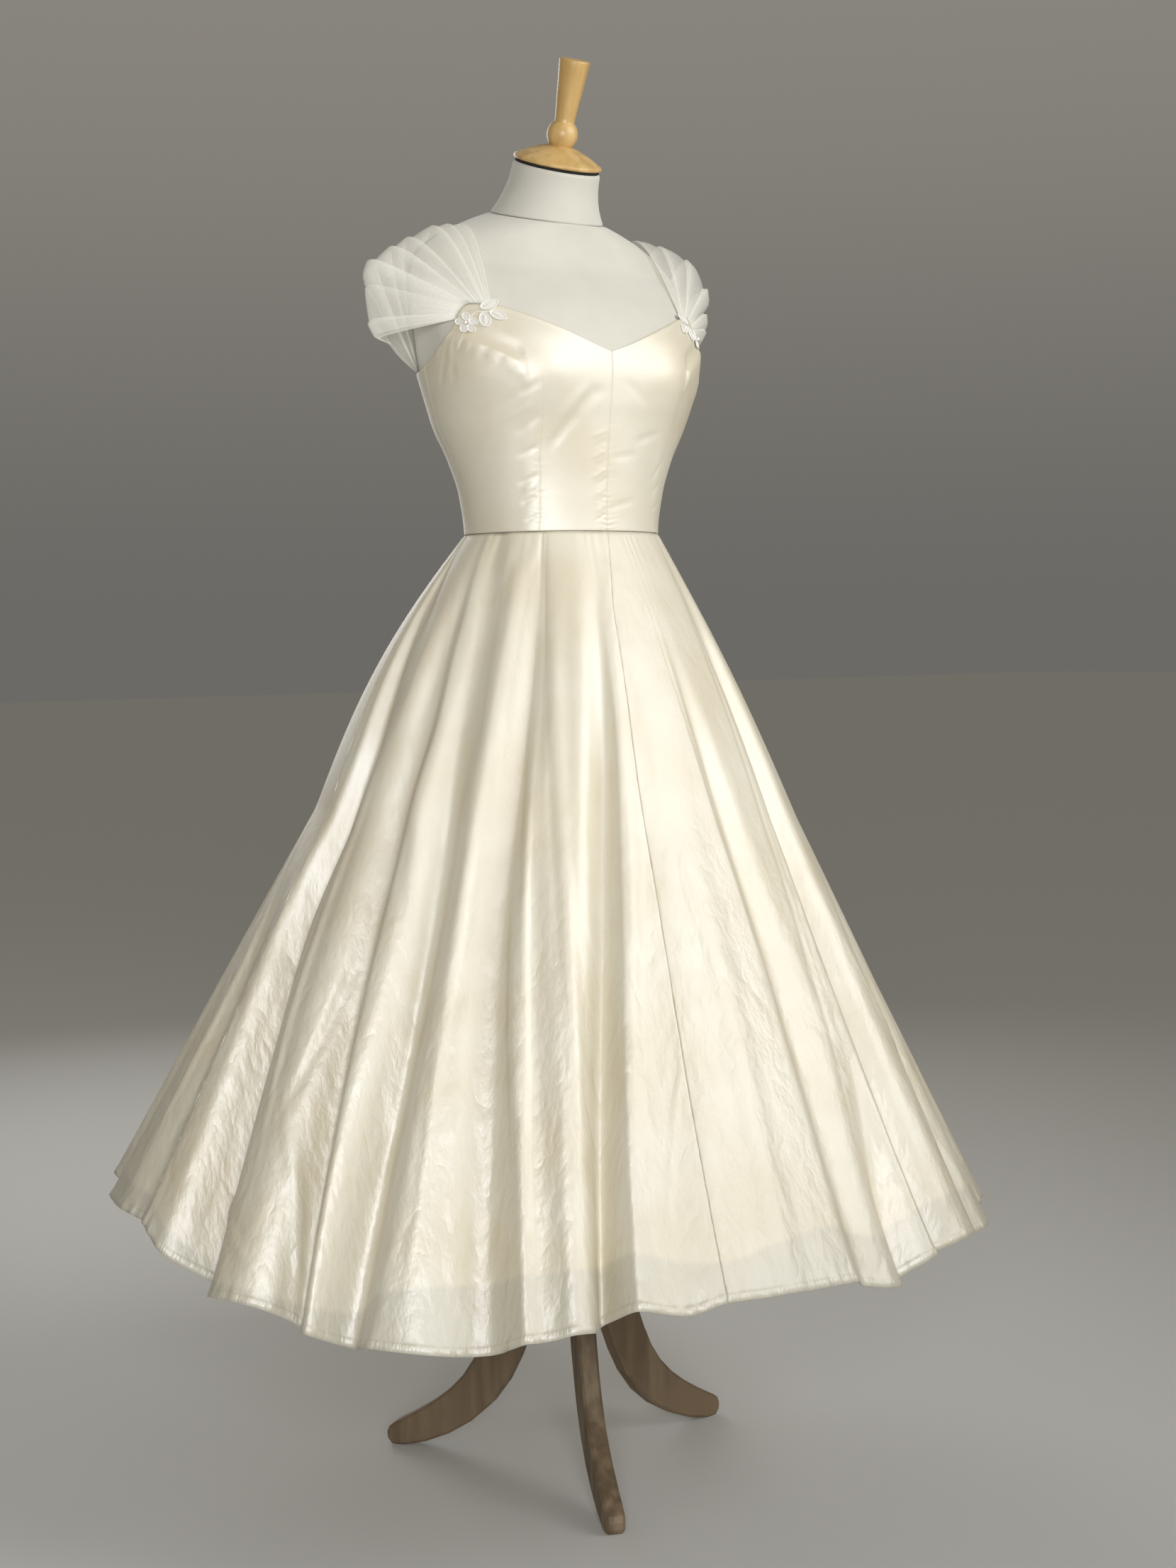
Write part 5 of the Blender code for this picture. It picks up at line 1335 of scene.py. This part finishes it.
# --- the room ------------------------------------------------------------------------------------------
# A pale floor under a plain pale room, a soft light at the right front, one beside the camera and a weak one
# behind, and the camera where the photograph was taken from.

FLOOR_COLOUR = (0.62, 0.62, 0.60)
bm = bmesh.new()
bmesh.ops.create_grid(bm, x_segments=1, y_segments=1, size=40)
bmesh.ops.translate(bm, verts=bm.verts, vec=(0, 0, solid_box[0][2]))
floor_mesh = mesh_of(bm, "floor")
floor_finish, shader = new_finish("pale floor", FLOOR_COLOUR, Roughness=0.8)
floor_object = bpy.data.objects.new("floor", floor_mesh)
floor_mesh.materials.append(floor_finish)
bpy.context.scene.collection.objects.link(floor_object)

# Each light's name, place, the place it points at, its size, power, spread in degrees and colour.
LIGHTS = (
    ("key_light", (1.2, -1.9, 2.3), (0.05, 0.0, 1.4), 2.4, 12.0, 75, (1.0, 0.995, 0.985)),
    ("fill_light", (-1.7, -2.9, 1.3), (0.0, 0.0, 1.05), 1.2, 25.0, 110, (0.98, 0.985, 1.0)),
    ("back_light", (0.6, 3.2, 2.0), (0.0, 0.0, 0.9), 2.4, 16.0, 120, (1.0, 0.99, 0.97)),
)
for name, at, towards, size, power, spread, colour in LIGHTS:
    lamp = bpy.data.lights.new(name, "AREA")
    lamp.shape = "DISK"
    lamp.size = size
    lamp.energy = power
    lamp.color = colour
    lamp.spread = math.radians(spread)
    lit = bpy.data.objects.new(name, lamp)
    turn = (Vector(towards) - Vector(at)).to_track_quat("-Z", "Y")
    lit.matrix_world = Matrix.Translation(at) @ turn.to_matrix().to_4x4()
    lit.visible_camera = False
    bpy.context.scene.collection.objects.link(lit)

ROOM_COLOUR = (0.84, 0.79, 0.70)
ROOM_LOW = (0.500, 0.480, 0.440)
ROOM_STRENGTH = 0.30
room = bpy.data.worlds.new("plain pale room")
room.use_nodes = True
outward = add_node(room, "TexCoord").outputs["Generated"]
height = add_node(room, "SeparateXYZ", Vector=outward).outputs["Z"]
shade = blend_colour(room, mask(room, height, 0.0, 0.30), ROOM_LOW, ROOM_COLOUR)
room.node_tree.links.new(shade, room.node_tree.nodes["Background"].inputs["Color"])
room.node_tree.nodes["Background"].inputs["Strength"].default_value = ROOM_STRENGTH
bpy.context.scene.world = room

CAMERA_FROM_STAND = (-1.3839, -2.2011, 0.9704)
CAMERA_HEADING = -32.8531
CAMERA_PITCH = 3.6371
CAMERA_ROLL = -1.0285
lens = bpy.data.cameras.new("camera")
lens.lens = 51.25
lens.sensor_width = 36.0
camera = bpy.data.objects.new("camera", lens)
camera.matrix_world = (
    Matrix.Translation(STAND_AXIS + CAMERA_FROM_STAND)
    @ Matrix.Rotation(math.radians(CAMERA_HEADING), 4, "Z")
    @ Matrix.Rotation(math.radians(90 - CAMERA_PITCH), 4, "X")
    @ Matrix.Rotation(math.radians(CAMERA_ROLL), 4, "Z")
)
bpy.context.scene.collection.objects.link(camera)
bpy.context.scene.camera = camera
bpy.context.scene.view_settings.view_transform = "Standard"
